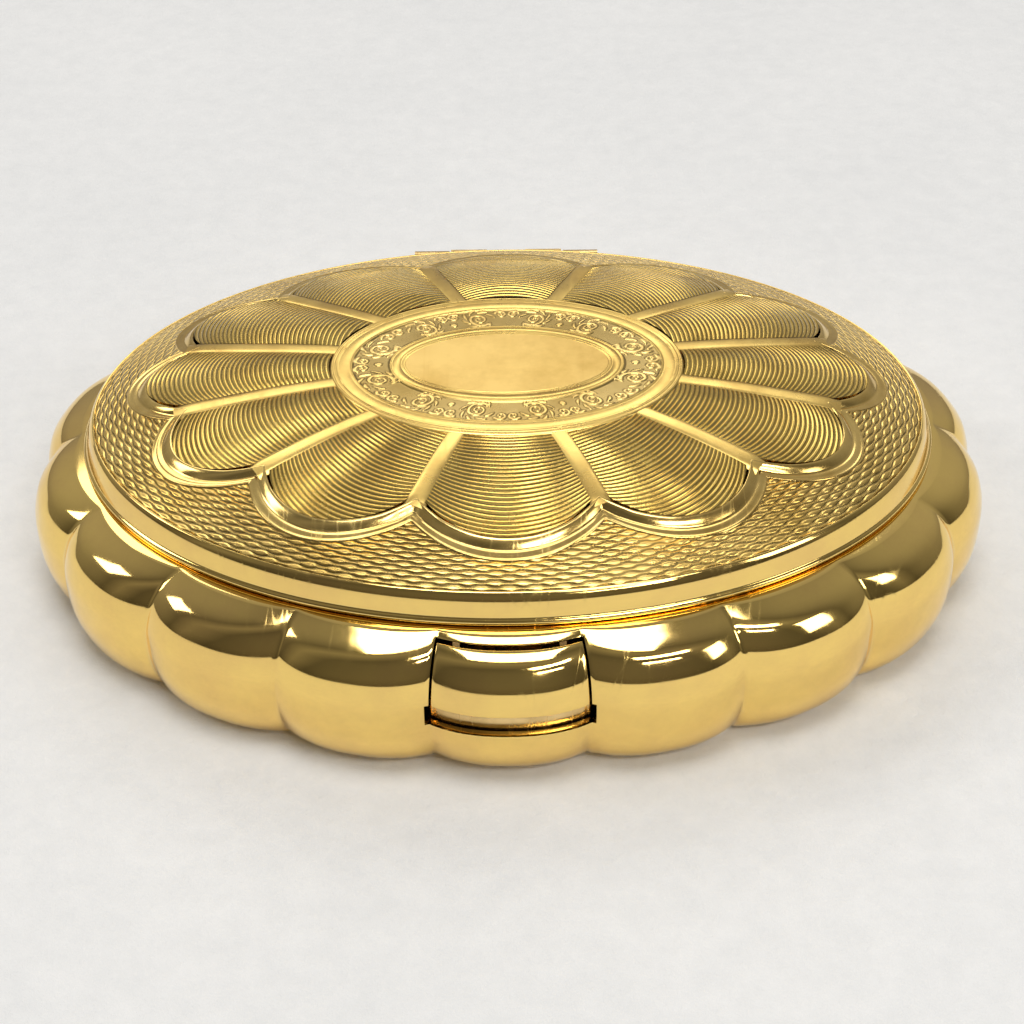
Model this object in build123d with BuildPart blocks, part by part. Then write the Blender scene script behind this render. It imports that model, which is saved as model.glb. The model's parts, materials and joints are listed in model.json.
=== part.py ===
"""Oval powder compact with a fluted body, a domed lid and a push catch.

Millimetres, +Z up. The origin is the middle of the underside, X runs along
the compact's length and the catch faces -Y.
"""

import math
import os

from build123d import *

os.makedirs("parts", exist_ok=True)

# ---------------------------------------------------------------- dimensions

# The lid's rim is the oval that everything else is offset from.
rim_half_length = 36.5
rim_half_width = 25.6

# Heights, each one standing on the one before.
body_height = 12.8
shoulder_rise = 0.4
flank_height = 2.0
dome_rise = 4.3

# The fluted body. Each level is (share of the height, crease, flute middle),
# the last two being distances outside the lid's rim.
flute_count = 18
flute_levels = [
    (0.000, 1.8, 2.8),
    (0.075, 3.2, 4.7),
    (0.220, 4.1, 6.0),
    (0.470, 4.5, 6.4),
    (0.720, 4.0, 5.9),
    (0.890, 3.0, 4.5),
    (1.000, 2.0, 2.6),
]
body_wall = 0.8
shoulder_wall = 0.8
shoulder_inset = 0.2
base_inset = 6.5

# The inner collar, which is also the back wall of the catch.
collar_inset = 3.2
collar_wall = 0.6

# The powder pan.
well_inset = 9.0
well_floor_z = 2.2
flange_drop = 1.0
pan_wall = 0.5
powder_depth = 1.3

# The puff and its ribbon.
puff_gap = 2.4
puff_thickness = 2.6
puff_edge_radius = 1.1
ribbon_width = 9.0
ribbon_thickness = 0.3

# The lid.
lid_wall = 0.8
bead_reach = 0.4
bead_height = 0.7
dome_insets = [(0.9, 0.11), (3.3, 0.32), (6.2, 0.53)]
cartouche_half_length = 14.9
cartouche_half_width = 10.0
haunch_share = 0.86
liner_lift = 0.5
liner_thickness = 0.5
window_inset = 5.6
mirror_inset = 3.8
mirror_thickness = 1.0
backing_thickness = 0.3
bezel_width = 1.4
bezel_overhang = 0.3
bezel_thickness = 0.3

# The main hinge.
hinge_lift = 0.1
knuckle_radius = 0.85
pin_radius = 0.4
hinge_half_length = 9.0
knuckle_gap = 0.2
middle_knuckle = 3.4
outer_knuckle = 3.4
knuckle_web = 1.0
knuckle_foot = 2.4
leaf_thickness = 0.5
lower_rivet_x = 6.5
lower_rivet_inset = 1.1
upper_leaf_half_length = 6.5
upper_leaf_inset = 2.2
upper_leaf_width = 1.5
upper_leaf_web = 0.4
upper_rivet_x = 3.4
rivet_radius = 0.45
rivet_head_radius = 0.8
rivet_head = 0.3

# The inner lid and its hinge.
inner_lid_overlap = 1.2
inner_lid_thickness = 0.6
inner_lid_lift = 0.2
inner_hinge_gap = 1.2
inner_hinge_lift = 1.0
inner_knuckle_radius = 0.8
inner_pin_radius = 0.35
inner_hinge_half_length = 6.0
inner_middle_knuckle = 4.0
inner_bracket_thickness = 0.4
bracket_inset = 0.8
bracket_ear = 2.2
bracket_ear_depth = 1.8
tab_width = 8.0
tab_reach = 1.2
tab_lap = 1.2
tab_thickness = 0.4
tab_rivet_x = 1.8

# The catch.
button_height = 4.08
button_top_drop = 0.32
button_clearance = 0.12
button_flange = 1.6
slot_height = 2.2
slot_overrun = 0.6
catch_travel = 0.6
pawl_lift = 1.2
pawl_thickness = 0.5
pawl_half_width = 3.8
pawl_bar = 0.5
window_half_width = 2.9
window_length = 1.65
striker_half_width = 2.4
striker_thickness = 0.5
striker_lip = 0.35
striker_lip_height = 0.5
striker_clearance = 0.1
striker_foot = 0.35
striker_foot_length = 2.5
striker_rivet_x = 1.4
guide_length = 3.2
guide_thickness = 0.55
guide_clearance = 0.15
guide_lip = 0.75
shield_recess = 3.0
shield_end_gap = 0.4
shield_sagitta = 1.6
shield_thickness = 0.5
shield_drop = 0.2
spring_thickness = 0.3
spring_half_width = 1.2
spring_seat = 0.09
spring_length = 3.7
spring_rivet_drop = 2.6
spring_gap = 0.25
spring_drop = 0.4

# Shared clearances.
running_fit = 0.05
joint_clearance = 0.2
lid_gap = 0.1
collar_gap = 0.15


# How a box stands on its place: over it, running back from it or forward from it.
STANDING = (Align.CENTER, Align.CENTER, Align.MIN)
FRONT_STANDING = (Align.CENTER, Align.MIN, Align.MIN)
BACK_STANDING = (Align.CENTER, Align.MAX, Align.MIN)


# ------------------------------------------------------------------- helpers


def rim_point(angle, outside):
    """A point at a distance outside the lid's rim, at an ellipse angle from -Y."""
    normal_x = rim_half_width * math.sin(angle)
    normal_y = -rim_half_length * math.cos(angle)
    length = math.hypot(normal_x, normal_y)
    x = rim_half_length * math.sin(angle) + outside * normal_x / length
    y = -rim_half_width * math.cos(angle) + outside * normal_y / length
    return (x, y)


def rim_angle(share, steps=3600):
    """The ellipse angle at a share of the way round the rim, by arc length."""
    quarter = share * 4
    turns = math.floor(quarter)
    lengths = [0.0]
    for step in range(steps):
        angle = (step + 0.5) / steps * math.pi / 2
        piece = math.hypot(rim_half_length * math.cos(angle), rim_half_width * math.sin(angle))
        lengths.append(lengths[-1] + piece)
    rest = quarter - turns
    wanted = lengths[-1] * (rest if turns % 2 == 0 else 1 - rest)
    index = min(range(steps + 1), key=lambda i: abs(lengths[i] - wanted))
    within = index / steps * math.pi / 2
    if turns % 2 == 1:
        within = math.pi / 2 - within
    return turns * math.pi / 2 + within


crease_angles = [rim_angle((i - 0.5) / flute_count) for i in range(flute_count + 1)]
flute_angles = [rim_angle(i / flute_count) for i in range(flute_count)]


def flute_middle(share):
    """How far a flute's middle stands outside the rim at a share of the body's height."""
    for (low, _, near), (high, _, far) in zip(flute_levels, flute_levels[1:]):
        if share <= high:
            return near + (far - near) * (share - low) / (high - low)


def fluted_outline(crease, middle):
    """Draws one closed row of outward arcs, a flute each, round the rim."""
    for i in range(flute_count):
        ThreePointArc(
            rim_point(crease_angles[i], crease),
            rim_point(flute_angles[i], middle),
            rim_point(crease_angles[i + 1], crease),
        )


def fluted_block(bottom, top, inward):
    """The fluted body as a solid between two heights, moved inward by a wall."""
    with BuildPart() as block:
        for share, crease, middle in flute_levels:
            with BuildSketch(Plane.XY.offset(bottom + share * (top - bottom))):
                with BuildLine():
                    fluted_outline(crease - inward, middle - inward)
                make_face()
        loft()
    return block.part


def oval_levels(inward, drop):
    """The lid's dome as (half length, half width, height) ovals."""
    rise = crest_z - rim_top_z
    levels = [(rim_half_length, rim_half_width, rim_top_z)]
    for inset, share in dome_insets:
        levels.append((rim_half_length - inset, rim_half_width - inset, rim_top_z + share * rise))
    haunch_length = (levels[-1][0] + cartouche_half_length) / 2
    haunch_width = (levels[-1][1] + cartouche_half_width) / 2
    levels.append((haunch_length, haunch_width, rim_top_z + haunch_share * rise))
    levels.append((cartouche_half_length, cartouche_half_width, crest_z))
    return [(length - inward, width - inward, z - drop) for length, width, z in levels]


def dome_block(inward, drop):
    """The dome as a solid, moved inward and down by the lid's wall."""
    with BuildPart() as block:
        for length, width, z in oval_levels(inward, drop):
            with BuildSketch(Plane.XY.offset(z)):
                Ellipse(length, width)
        loft()
    return block.part


def oval(inset, mode=Mode.ADD):
    """Draws the lid's rim moved inward."""
    Ellipse(rim_half_length - inset, rim_half_width - inset, mode=mode)


def knuckles(line, places, radius, bore):
    """Hinge knuckles on a line, each given as (middle, length), with their bore."""
    with BuildPart() as row:
        for middle, length in places:
            with BuildSketch(line.offset(middle - length / 2)):
                Circle(radius)
                Circle(bore, mode=Mode.SUBTRACT)
            extrude(amount=length)
    return row.part


def rivets(places, bottom, top, bottom_head, top_head):
    """Standing rivets between two heights, with a head below, above or both."""
    with BuildPart() as group:
        with Locations([(x, y, bottom) for x, y in places]):
            Cylinder(rivet_radius, top - bottom, align=STANDING)
        if bottom_head:
            with Locations([(x, y, bottom - rivet_head) for x, y in places]):
                Cylinder(rivet_head_radius, rivet_head, align=STANDING)
        if top_head:
            with Locations([(x, y, top) for x, y in places]):
                Cylinder(rivet_head_radius, rivet_head, align=STANDING)
    return group.part


# -------------------------------------------------------------- shared places

shoulder_edge_z = body_height
shoulder_under_z = shoulder_edge_z - shoulder_wall
seam_z = shoulder_edge_z + shoulder_rise
rim_top_z = seam_z + flank_height
crest_z = rim_top_z + dome_rise
body_outside = fluted_block(0, shoulder_edge_z, 0)
body_inside = fluted_block(body_wall, shoulder_under_z, body_wall)

# The main hinge.
hinge_y = rim_half_width + bead_reach + knuckle_radius + joint_clearance
hinge_z = seam_z + hinge_lift
hinge_line = Plane(origin=(0, hinge_y, hinge_z), x_dir=(0, 1, 0), z_dir=(1, 0, 0))
hinge_groove = knuckle_radius + joint_clearance
upper_knuckle = (2 * hinge_half_length - middle_knuckle - 2 * outer_knuckle - 4 * knuckle_gap) / 2
upper_knuckle_x = middle_knuckle / 2 + knuckle_gap + upper_knuckle / 2
outer_knuckle_x = hinge_half_length - outer_knuckle / 2
lower_knuckles = [(-outer_knuckle_x, outer_knuckle), (0, middle_knuckle), (outer_knuckle_x, outer_knuckle)]
upper_knuckles = [(-upper_knuckle_x, upper_knuckle), (upper_knuckle_x, upper_knuckle)]
lower_rivet_y = rim_half_width - lower_rivet_inset
upper_rivet_y = rim_half_width - upper_leaf_inset - upper_leaf_width / 2

# The collar, the pan and what lies in it.
collar_half_width = rim_half_width - collar_inset
leaf_front_y = collar_half_width + joint_clearance
leaf_back_y = hinge_y + knuckle_web / 2
upper_web_y = hinge_y - knuckle_radius + upper_leaf_web
well_flange_z = shoulder_under_z - flange_drop
well_top_z = well_flange_z - pan_wall
powder_z = well_floor_z + pan_wall
puff_z = powder_z + powder_depth
puff_inset = well_inset + puff_gap
ribbon_half_length = rim_half_width - puff_inset - puff_edge_radius

# The lid's layers, from the seam upwards.
lid_bottom_z = seam_z + lid_gap
liner_z = seam_z + liner_lift
liner_top_z = liner_z + liner_thickness
mirror_top_z = liner_top_z + mirror_thickness

# The inner lid and its hinge.
inner_lid_inset = well_inset - inner_lid_overlap
inner_lid_front_y = inner_lid_inset - rim_half_width
inner_lid_z = well_flange_z + inner_lid_lift
inner_hinge_y = inner_hinge_gap - inner_lid_front_y
inner_hinge_z = well_flange_z + inner_hinge_lift
inner_hinge_line = Plane(origin=(0, inner_hinge_y, inner_hinge_z), x_dir=(0, 1, 0), z_dir=(1, 0, 0))
inner_outer_knuckle = inner_hinge_half_length - inner_middle_knuckle / 2 - knuckle_gap
inner_outer_x = inner_hinge_half_length - inner_outer_knuckle / 2
bracket_back_y = collar_half_width - collar_wall - bracket_inset
inner_rivet_y = bracket_back_y - bracket_ear_depth / 2
inner_rivet_x = inner_hinge_half_length + bracket_ear / 2
tab_rivet_y = inner_lid_front_y + tab_lap

# The catch, from the front flute inwards.
opening_half_width = rim_point(crease_angles[1], flute_levels[1][1])[0]
button_half_width = opening_half_width - button_clearance
button_top_z = shoulder_edge_z - button_top_drop
button_z = button_top_z - button_height
button_back_y = -rim_half_width - button_flange
slot_z = button_z - slot_height
slot_half_width = opening_half_width + slot_overrun
pawl_z = button_z + pawl_lift
catch_bar_y = -(collar_half_width + catch_travel + collar_gap)
striker_y = catch_bar_y - pawl_bar - striker_clearance - striker_lip - striker_thickness
striker_rivet_y = striker_y + striker_thickness + striker_foot_length / 2

# The shield stands inside the front flute and follows its curve.
shield_y = -(rim_half_width + flute_levels[3][2] - shield_recess)
shield_half_width = opening_half_width - shield_end_gap
shield_top_z = button_z - shield_drop
spring_y = shield_y + shield_thickness + spring_seat + spring_thickness / 2
spring_bottom_z = shield_top_z - spring_length
spring_tip_z = pawl_z - spring_drop
spring_room = body_wall + catch_travel + spring_gap + spring_thickness / 2
spring_tip_y = spring_room - rim_half_width - flute_middle(spring_tip_z / body_height)
spring_rivet_z = shield_top_z - spring_rivet_drop
shield_rivet_plane = Plane(origin=(0, shield_y, spring_rivet_z), x_dir=(1, 0, 0), z_dir=(0, 1, 0))


# ------------------------------------------------------------------ the body

with BuildPart() as body_shell:
    add(body_outside)
    with BuildSketch(Plane.XY.offset(shoulder_edge_z)):
        oval(-flute_levels[-1][1])
    with BuildSketch(Plane.XY.offset(seam_z)):
        oval(-shoulder_inset)
    loft()
    add(body_inside, mode=Mode.SUBTRACT)
    with BuildSketch(Plane.XY.offset(shoulder_under_z - body_wall)):
        oval(collar_inset)
    extrude(amount=seam_z, mode=Mode.SUBTRACT)
    with BuildSketch(Plane.XY):
        oval(base_inset)
    extrude(amount=2 * body_wall, mode=Mode.SUBTRACT)
    # The front flute is open where the push piece stands.
    with BuildSketch(Plane.XY.offset(slot_z)):
        with Locations((0, button_back_y + catch_travel + joint_clearance)):
            opening_width = 2 * (button_half_width + button_clearance)
            Rectangle(opening_width, rim_half_width, align=(Align.CENTER, Align.MAX))
    extrude(amount=button_top_z + button_clearance - slot_z, mode=Mode.SUBTRACT)
    with BuildSketch(Plane.XY.offset(slot_z)):
        with Locations((0, -rim_half_width)):
            Rectangle(2 * slot_half_width, rim_half_width, align=(Align.CENTER, Align.MAX))
    extrude(amount=button_z - slot_z, mode=Mode.SUBTRACT)
    # The striker drops through the shoulder here.
    with BuildSketch(Plane.XY.offset(shoulder_under_z)):
        with Locations((0, catch_bar_y - pawl_bar)):
            Rectangle(2 * window_half_width, window_length, align=(Align.CENTER, Align.MAX))
    extrude(amount=seam_z, mode=Mode.SUBTRACT)
    # The hinge's knuckles turn in a groove across the back.
    with BuildSketch(hinge_line.offset(-hinge_half_length - joint_clearance)):
        Circle(hinge_groove)
    extrude(amount=2 * (hinge_half_length + joint_clearance), mode=Mode.SUBTRACT)
    for x, length in lower_knuckles:
        with Locations((x, leaf_back_y, shoulder_under_z)):
            Box(length, knuckle_foot, shoulder_wall, align=BACK_STANDING, mode=Mode.SUBTRACT)
            Box(length, knuckle_web, hinge_z, align=BACK_STANDING, mode=Mode.SUBTRACT)
    with Locations([(x, lower_rivet_y, shoulder_under_z) for x in (-lower_rivet_x, lower_rivet_x)]):
        Cylinder(rivet_radius, seam_z, align=STANDING, mode=Mode.SUBTRACT)
body_shell.part.label = "body_shell"
export_step(body_shell.part, "parts/body_shell.step")

with BuildPart() as base_plate:
    with BuildSketch(Plane.XY):
        oval(base_inset)
    extrude(amount=body_wall)
base_plate.part.label = "base_plate"
export_step(base_plate.part, "parts/base_plate.step")

with BuildPart() as inner_collar:
    with BuildSketch(Plane.XY.offset(body_wall)):
        oval(collar_inset)
        oval(collar_inset + collar_wall, mode=Mode.SUBTRACT)
    extrude(amount=seam_z - body_wall)
inner_collar.part.label = "inner_collar"
export_step(inner_collar.part, "parts/inner_collar.step")

with BuildPart() as powder_pan:
    with BuildSketch(Plane.XY.offset(well_floor_z)):
        oval(well_inset - pan_wall)
    extrude(amount=well_flange_z - well_floor_z)
    with BuildSketch(Plane.XY.offset(well_top_z)):
        oval(collar_inset + collar_wall)
    extrude(amount=pan_wall)
    with BuildSketch(Plane.XY.offset(well_floor_z + pan_wall)):
        oval(well_inset)
    extrude(amount=well_flange_z, mode=Mode.SUBTRACT)
    with Locations([(x, inner_rivet_y, well_floor_z) for x in (-inner_rivet_x, inner_rivet_x)]):
        Cylinder(rivet_radius, well_flange_z, align=STANDING, mode=Mode.SUBTRACT)
powder_pan.part.label = "powder_pan"
export_step(powder_pan.part, "parts/powder_pan.step")

with BuildPart() as loose_powder:
    with BuildSketch(Plane.XY.offset(powder_z)):
        oval(well_inset)
    extrude(amount=powder_depth)
loose_powder.part.label = "loose_powder"
export_step(loose_powder.part, "parts/loose_powder.step")

with BuildPart() as powder_puff:
    with BuildSketch(Plane.XY.offset(puff_z)):
        oval(puff_inset)
    extrude(amount=puff_thickness)
    fillet(powder_puff.edges(), radius=puff_edge_radius)
powder_puff.part.label = "powder_puff"
export_step(powder_puff.part, "parts/powder_puff.step")

with BuildPart() as puff_ribbon:
    with BuildSketch(Plane.XY.offset(puff_z + puff_thickness)):
        Rectangle(ribbon_width, 2 * ribbon_half_length)
    extrude(amount=ribbon_thickness)
puff_ribbon.part.label = "puff_ribbon"
export_step(puff_ribbon.part, "parts/puff_ribbon.step")


# ------------------------------------------------------------- the main hinge

with BuildPart() as hinge_leaf_lower:
    with Locations((0, (leaf_front_y + leaf_back_y) / 2, shoulder_under_z - leaf_thickness)):
        Box(2 * hinge_half_length, leaf_back_y - leaf_front_y, leaf_thickness, align=STANDING)
    add(body_inside, mode=Mode.INTERSECT)
    with Locations([(x, lower_rivet_y, 0) for x in (-lower_rivet_x, lower_rivet_x)]):
        Cylinder(rivet_radius, 2 * seam_z, mode=Mode.SUBTRACT)
    for x, length in lower_knuckles:
        with Locations((x, leaf_back_y, shoulder_under_z)):
            Box(length, knuckle_foot, shoulder_wall, align=BACK_STANDING)
            Box(length, knuckle_web, hinge_z - shoulder_under_z, align=BACK_STANDING)
    add(knuckles(hinge_line, lower_knuckles, knuckle_radius, pin_radius))
    with BuildSketch(hinge_line.offset(-hinge_half_length)):
        Circle(pin_radius)
    extrude(amount=2 * hinge_half_length, mode=Mode.SUBTRACT)
hinge_leaf_lower.part.label = "hinge_leaf_lower"
export_step(hinge_leaf_lower.part, "parts/hinge_leaf_lower.step")

with BuildPart() as hinge_leaf_lower_rivets:
    places = [(-lower_rivet_x, lower_rivet_y), (lower_rivet_x, lower_rivet_y)]
    add(rivets(places, shoulder_under_z - leaf_thickness, seam_z, True, False))
hinge_leaf_lower_rivets.part.label = "hinge_leaf_lower_rivets"
export_step(hinge_leaf_lower_rivets.part, "parts/hinge_leaf_lower_rivets.step")

with BuildPart() as hinge_pin:
    with BuildSketch(hinge_line.offset(-hinge_half_length)):
        Circle(pin_radius)
    extrude(amount=2 * hinge_half_length)
hinge_pin.part.label = "hinge_pin"
export_step(hinge_pin.part, "parts/hinge_pin.step")

with BuildPart() as hinge_leaf_upper:
    with Locations((0, rim_half_width - upper_leaf_inset, liner_top_z)):
        Box(2 * upper_leaf_half_length, upper_leaf_width, leaf_thickness, align=BACK_STANDING)
    for x, length in upper_knuckles:
        with Locations((x, rim_half_width - upper_leaf_inset, liner_top_z)):
            reach = upper_web_y - rim_half_width + upper_leaf_inset
            Box(length, reach, leaf_thickness, align=FRONT_STANDING)
        with Locations((x, upper_web_y, hinge_z)):
            web_height = liner_top_z + leaf_thickness - hinge_z
            Box(length, upper_leaf_web, web_height, align=BACK_STANDING)
    add(knuckles(hinge_line, upper_knuckles, knuckle_radius, pin_radius + running_fit))
    with BuildSketch(hinge_line.offset(-hinge_half_length)):
        Circle(pin_radius + running_fit)
    extrude(amount=2 * hinge_half_length, mode=Mode.SUBTRACT)
    with Locations([(x, upper_rivet_y, liner_z) for x in (-upper_rivet_x, upper_rivet_x)]):
        Cylinder(rivet_radius, rim_top_z, align=STANDING, mode=Mode.SUBTRACT)
hinge_leaf_upper.part.label = "hinge_leaf_upper"
export_step(hinge_leaf_upper.part, "parts/hinge_leaf_upper.step")

with BuildPart() as hinge_leaf_upper_rivets:
    places = [(-upper_rivet_x, upper_rivet_y), (upper_rivet_x, upper_rivet_y)]
    add(rivets(places, liner_z, liner_top_z + leaf_thickness, True, True))
hinge_leaf_upper_rivets.part.label = "hinge_leaf_upper_rivets"
export_step(hinge_leaf_upper_rivets.part, "parts/hinge_leaf_upper_rivets.step")


# -------------------------------------------------------------------- the lid

with BuildPart() as lid_cover:
    add(dome_block(0, 0))
    with BuildSketch(Plane.XY.offset(lid_bottom_z)):
        oval(0)
    extrude(amount=rim_top_z - lid_bottom_z)
    with BuildSketch(Plane.XY.offset(lid_bottom_z)):
        oval(-bead_reach)
    extrude(amount=bead_height)
    add(dome_block(lid_wall, lid_wall), mode=Mode.SUBTRACT)
    with BuildSketch(Plane.XY.offset(lid_bottom_z)):
        oval(lid_wall)
    extrude(amount=rim_top_z - lid_wall - lid_bottom_z, mode=Mode.SUBTRACT)
    for x, length in upper_knuckles:
        with Locations((x, rim_half_width - upper_leaf_inset, lid_bottom_z)):
            arm_height = liner_top_z + leaf_thickness - lid_bottom_z
            Box(length, rim_half_width, arm_height, align=FRONT_STANDING, mode=Mode.SUBTRACT)
lid_cover.part.label = "lid_cover"
export_step(lid_cover.part, "parts/lid_cover.step")

with BuildPart() as lid_liner:
    with BuildSketch(Plane.XY.offset(liner_z)):
        oval(lid_wall)
        oval(window_inset, mode=Mode.SUBTRACT)
        with Locations([(x, upper_rivet_y) for x in (-upper_rivet_x, upper_rivet_x)]):
            Circle(rivet_radius, mode=Mode.SUBTRACT)
        with Locations([(x, striker_rivet_y) for x in (-striker_rivet_x, striker_rivet_x)]):
            Circle(rivet_radius, mode=Mode.SUBTRACT)
    extrude(amount=liner_thickness)
    for x, length in upper_knuckles:
        with Locations((x, rim_half_width - upper_leaf_inset, liner_z)):
            Box(length, rim_half_width, liner_thickness, align=FRONT_STANDING, mode=Mode.SUBTRACT)
lid_liner.part.label = "lid_liner"
export_step(lid_liner.part, "parts/lid_liner.step")

with BuildPart() as mirror_glass:
    with BuildSketch(Plane.XY.offset(liner_top_z)):
        oval(mirror_inset)
    extrude(amount=mirror_thickness)
mirror_glass.part.label = "mirror_glass"
export_step(mirror_glass.part, "parts/mirror_glass.step")

with BuildPart() as mirror_backing:
    with BuildSketch(Plane.XY.offset(mirror_top_z)):
        oval(mirror_inset)
    extrude(amount=backing_thickness)
mirror_backing.part.label = "mirror_backing"
export_step(mirror_backing.part, "parts/mirror_backing.step")

with BuildPart() as mirror_bezel:
    with BuildSketch(Plane.XY.offset(liner_z - bezel_thickness)):
        oval(window_inset + bezel_overhang - bezel_width)
        oval(window_inset + bezel_overhang, mode=Mode.SUBTRACT)
    extrude(amount=bezel_thickness)
mirror_bezel.part.label = "mirror_bezel"
export_step(mirror_bezel.part, "parts/mirror_bezel.step")

with BuildPart() as lid_striker:
    strip_bottom = pawl_z - striker_clearance - striker_lip_height
    with Locations((0, striker_y, strip_bottom)):
        Box(2 * striker_half_width, striker_thickness, liner_z - strip_bottom, align=FRONT_STANDING)
        lip_reach = striker_thickness + striker_lip
        Box(2 * striker_half_width, lip_reach, striker_lip_height, align=FRONT_STANDING)
    with Locations((0, striker_y, liner_z - striker_foot)):
        Box(2 * striker_half_width, striker_foot_length, striker_foot, align=FRONT_STANDING)
    with Locations([(x, striker_rivet_y, 0) for x in (-striker_rivet_x, striker_rivet_x)]):
        Cylinder(rivet_radius, 2 * rim_top_z, mode=Mode.SUBTRACT)
lid_striker.part.label = "lid_striker"
export_step(lid_striker.part, "parts/lid_striker.step")

with BuildPart() as lid_striker_rivets:
    places = [(-striker_rivet_x, striker_rivet_y), (striker_rivet_x, striker_rivet_y)]
    add(rivets(places, liner_z - striker_foot, liner_top_z, False, True))
lid_striker_rivets.part.label = "lid_striker_rivets"
export_step(lid_striker_rivets.part, "parts/lid_striker_rivets.step")


# -------------------------------------------------------------- the inner lid

with BuildPart() as inner_lid:
    with BuildSketch(Plane.XY.offset(inner_lid_z)):
        oval(inner_lid_inset)
    extrude(amount=inner_lid_thickness)
    with Locations((0, inner_hinge_y, inner_lid_z)):
        Box(inner_middle_knuckle, 2 * inner_hinge_gap, inner_lid_thickness, align=BACK_STANDING)
    add(knuckles(inner_hinge_line, [(0, inner_middle_knuckle)], inner_knuckle_radius, inner_pin_radius))
    with BuildSketch(inner_hinge_line.offset(-inner_hinge_half_length)):
        Circle(inner_pin_radius + running_fit)
    extrude(amount=2 * inner_hinge_half_length, mode=Mode.SUBTRACT)
    with Locations([(x, tab_rivet_y, 0) for x in (-tab_rivet_x, tab_rivet_x)]):
        Cylinder(rivet_radius, 2 * rim_top_z, mode=Mode.SUBTRACT)
inner_lid.part.label = "inner_lid"
export_step(inner_lid.part, "parts/inner_lid.step")

with BuildPart() as inner_hinge_bracket:
    bracket_y = inner_hinge_y + inner_knuckle_radius + joint_clearance
    with Locations((0, bracket_back_y, well_flange_z)):
        bracket_half_length = inner_hinge_half_length + bracket_ear
        bracket_width = bracket_back_y - bracket_y
        Box(2 * bracket_half_length, bracket_width, inner_bracket_thickness, align=BACK_STANDING)
    with Locations([(x, bracket_back_y, well_flange_z) for x in (-inner_rivet_x, inner_rivet_x)]):
        Box(bracket_ear, bracket_ear_depth, inner_bracket_thickness, align=BACK_STANDING)
    for x in (-inner_outer_x, inner_outer_x):
        with Locations((x, bracket_back_y, well_flange_z)):
            web_height = inner_hinge_z - well_flange_z
            Box(inner_outer_knuckle, bracket_back_y - inner_hinge_y, web_height, align=BACK_STANDING)
    outer_places = [(-inner_outer_x, inner_outer_knuckle), (inner_outer_x, inner_outer_knuckle)]
    add(knuckles(inner_hinge_line, outer_places, inner_knuckle_radius, inner_pin_radius))
    with BuildSketch(inner_hinge_line.offset(-inner_hinge_half_length)):
        Circle(inner_pin_radius)
    extrude(amount=2 * inner_hinge_half_length, mode=Mode.SUBTRACT)
    with Locations([(x, inner_rivet_y, 0) for x in (-inner_rivet_x, inner_rivet_x)]):
        Cylinder(rivet_radius, 2 * rim_top_z, mode=Mode.SUBTRACT)
inner_hinge_bracket.part.label = "inner_hinge_bracket"
export_step(inner_hinge_bracket.part, "parts/inner_hinge_bracket.step")

with BuildPart() as inner_hinge_rivets:
    places = [(-inner_rivet_x, inner_rivet_y), (inner_rivet_x, inner_rivet_y)]
    add(rivets(places, well_top_z, well_flange_z + inner_bracket_thickness, True, True))
inner_hinge_rivets.part.label = "inner_hinge_rivets"
export_step(inner_hinge_rivets.part, "parts/inner_hinge_rivets.step")

with BuildPart() as inner_hinge_pin:
    with BuildSketch(inner_hinge_line.offset(-inner_hinge_half_length)):
        Circle(inner_pin_radius)
    extrude(amount=2 * inner_hinge_half_length)
inner_hinge_pin.part.label = "inner_hinge_pin"
export_step(inner_hinge_pin.part, "parts/inner_hinge_pin.step")

with BuildPart() as inner_lid_tab:
    with BuildSketch(Plane.XY.offset(inner_lid_z + inner_lid_thickness)):
        with Locations((0, inner_lid_front_y - tab_reach)):
            SlotOverall(tab_width, 2 * tab_lap)
            Rectangle(tab_width - 2 * tab_lap, tab_reach + 2 * tab_lap, align=(Align.CENTER, Align.MIN))
    extrude(amount=tab_thickness)
    with Locations([(x, tab_rivet_y, 0) for x in (-tab_rivet_x, tab_rivet_x)]):
        Cylinder(rivet_radius, 2 * rim_top_z, mode=Mode.SUBTRACT)
inner_lid_tab.part.label = "inner_lid_tab"
export_step(inner_lid_tab.part, "parts/inner_lid_tab.step")

with BuildPart() as inner_lid_tab_rivets:
    places = [(-tab_rivet_x, tab_rivet_y), (tab_rivet_x, tab_rivet_y)]
    add(rivets(places, inner_lid_z, inner_lid_z + inner_lid_thickness + tab_thickness, False, True))
inner_lid_tab_rivets.part.label = "inner_lid_tab_rivets"
export_step(inner_lid_tab_rivets.part, "parts/inner_lid_tab_rivets.step")


# ------------------------------------------------------------------ the catch

with BuildPart() as catch_button:
    add(body_outside)
    with BuildSketch(Plane.XY.offset(button_z)):
        with Locations((0, button_back_y)):
            Rectangle(2 * button_half_width, rim_half_width, align=(Align.CENTER, Align.MAX))
    extrude(amount=button_top_z - button_z, mode=Mode.INTERSECT)
    add(body_inside, mode=Mode.SUBTRACT)
catch_button.part.label = "catch_button"
export_step(catch_button.part, "parts/catch_button.step")

with BuildPart() as catch_pawl:
    add(body_inside)
    with BuildSketch(Plane.XY.offset(pawl_z)):
        with Locations((0, catch_bar_y)):
            Rectangle(2 * pawl_half_width, rim_half_width, align=(Align.CENTER, Align.MAX))
        with Locations((0, catch_bar_y - pawl_bar)):
            window_align = (Align.CENTER, Align.MAX)
            Rectangle(2 * window_half_width, window_length, align=window_align, mode=Mode.SUBTRACT)
    extrude(amount=pawl_thickness, mode=Mode.INTERSECT)
catch_pawl.part.label = "catch_pawl"
export_step(catch_pawl.part, "parts/catch_pawl.step")

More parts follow.
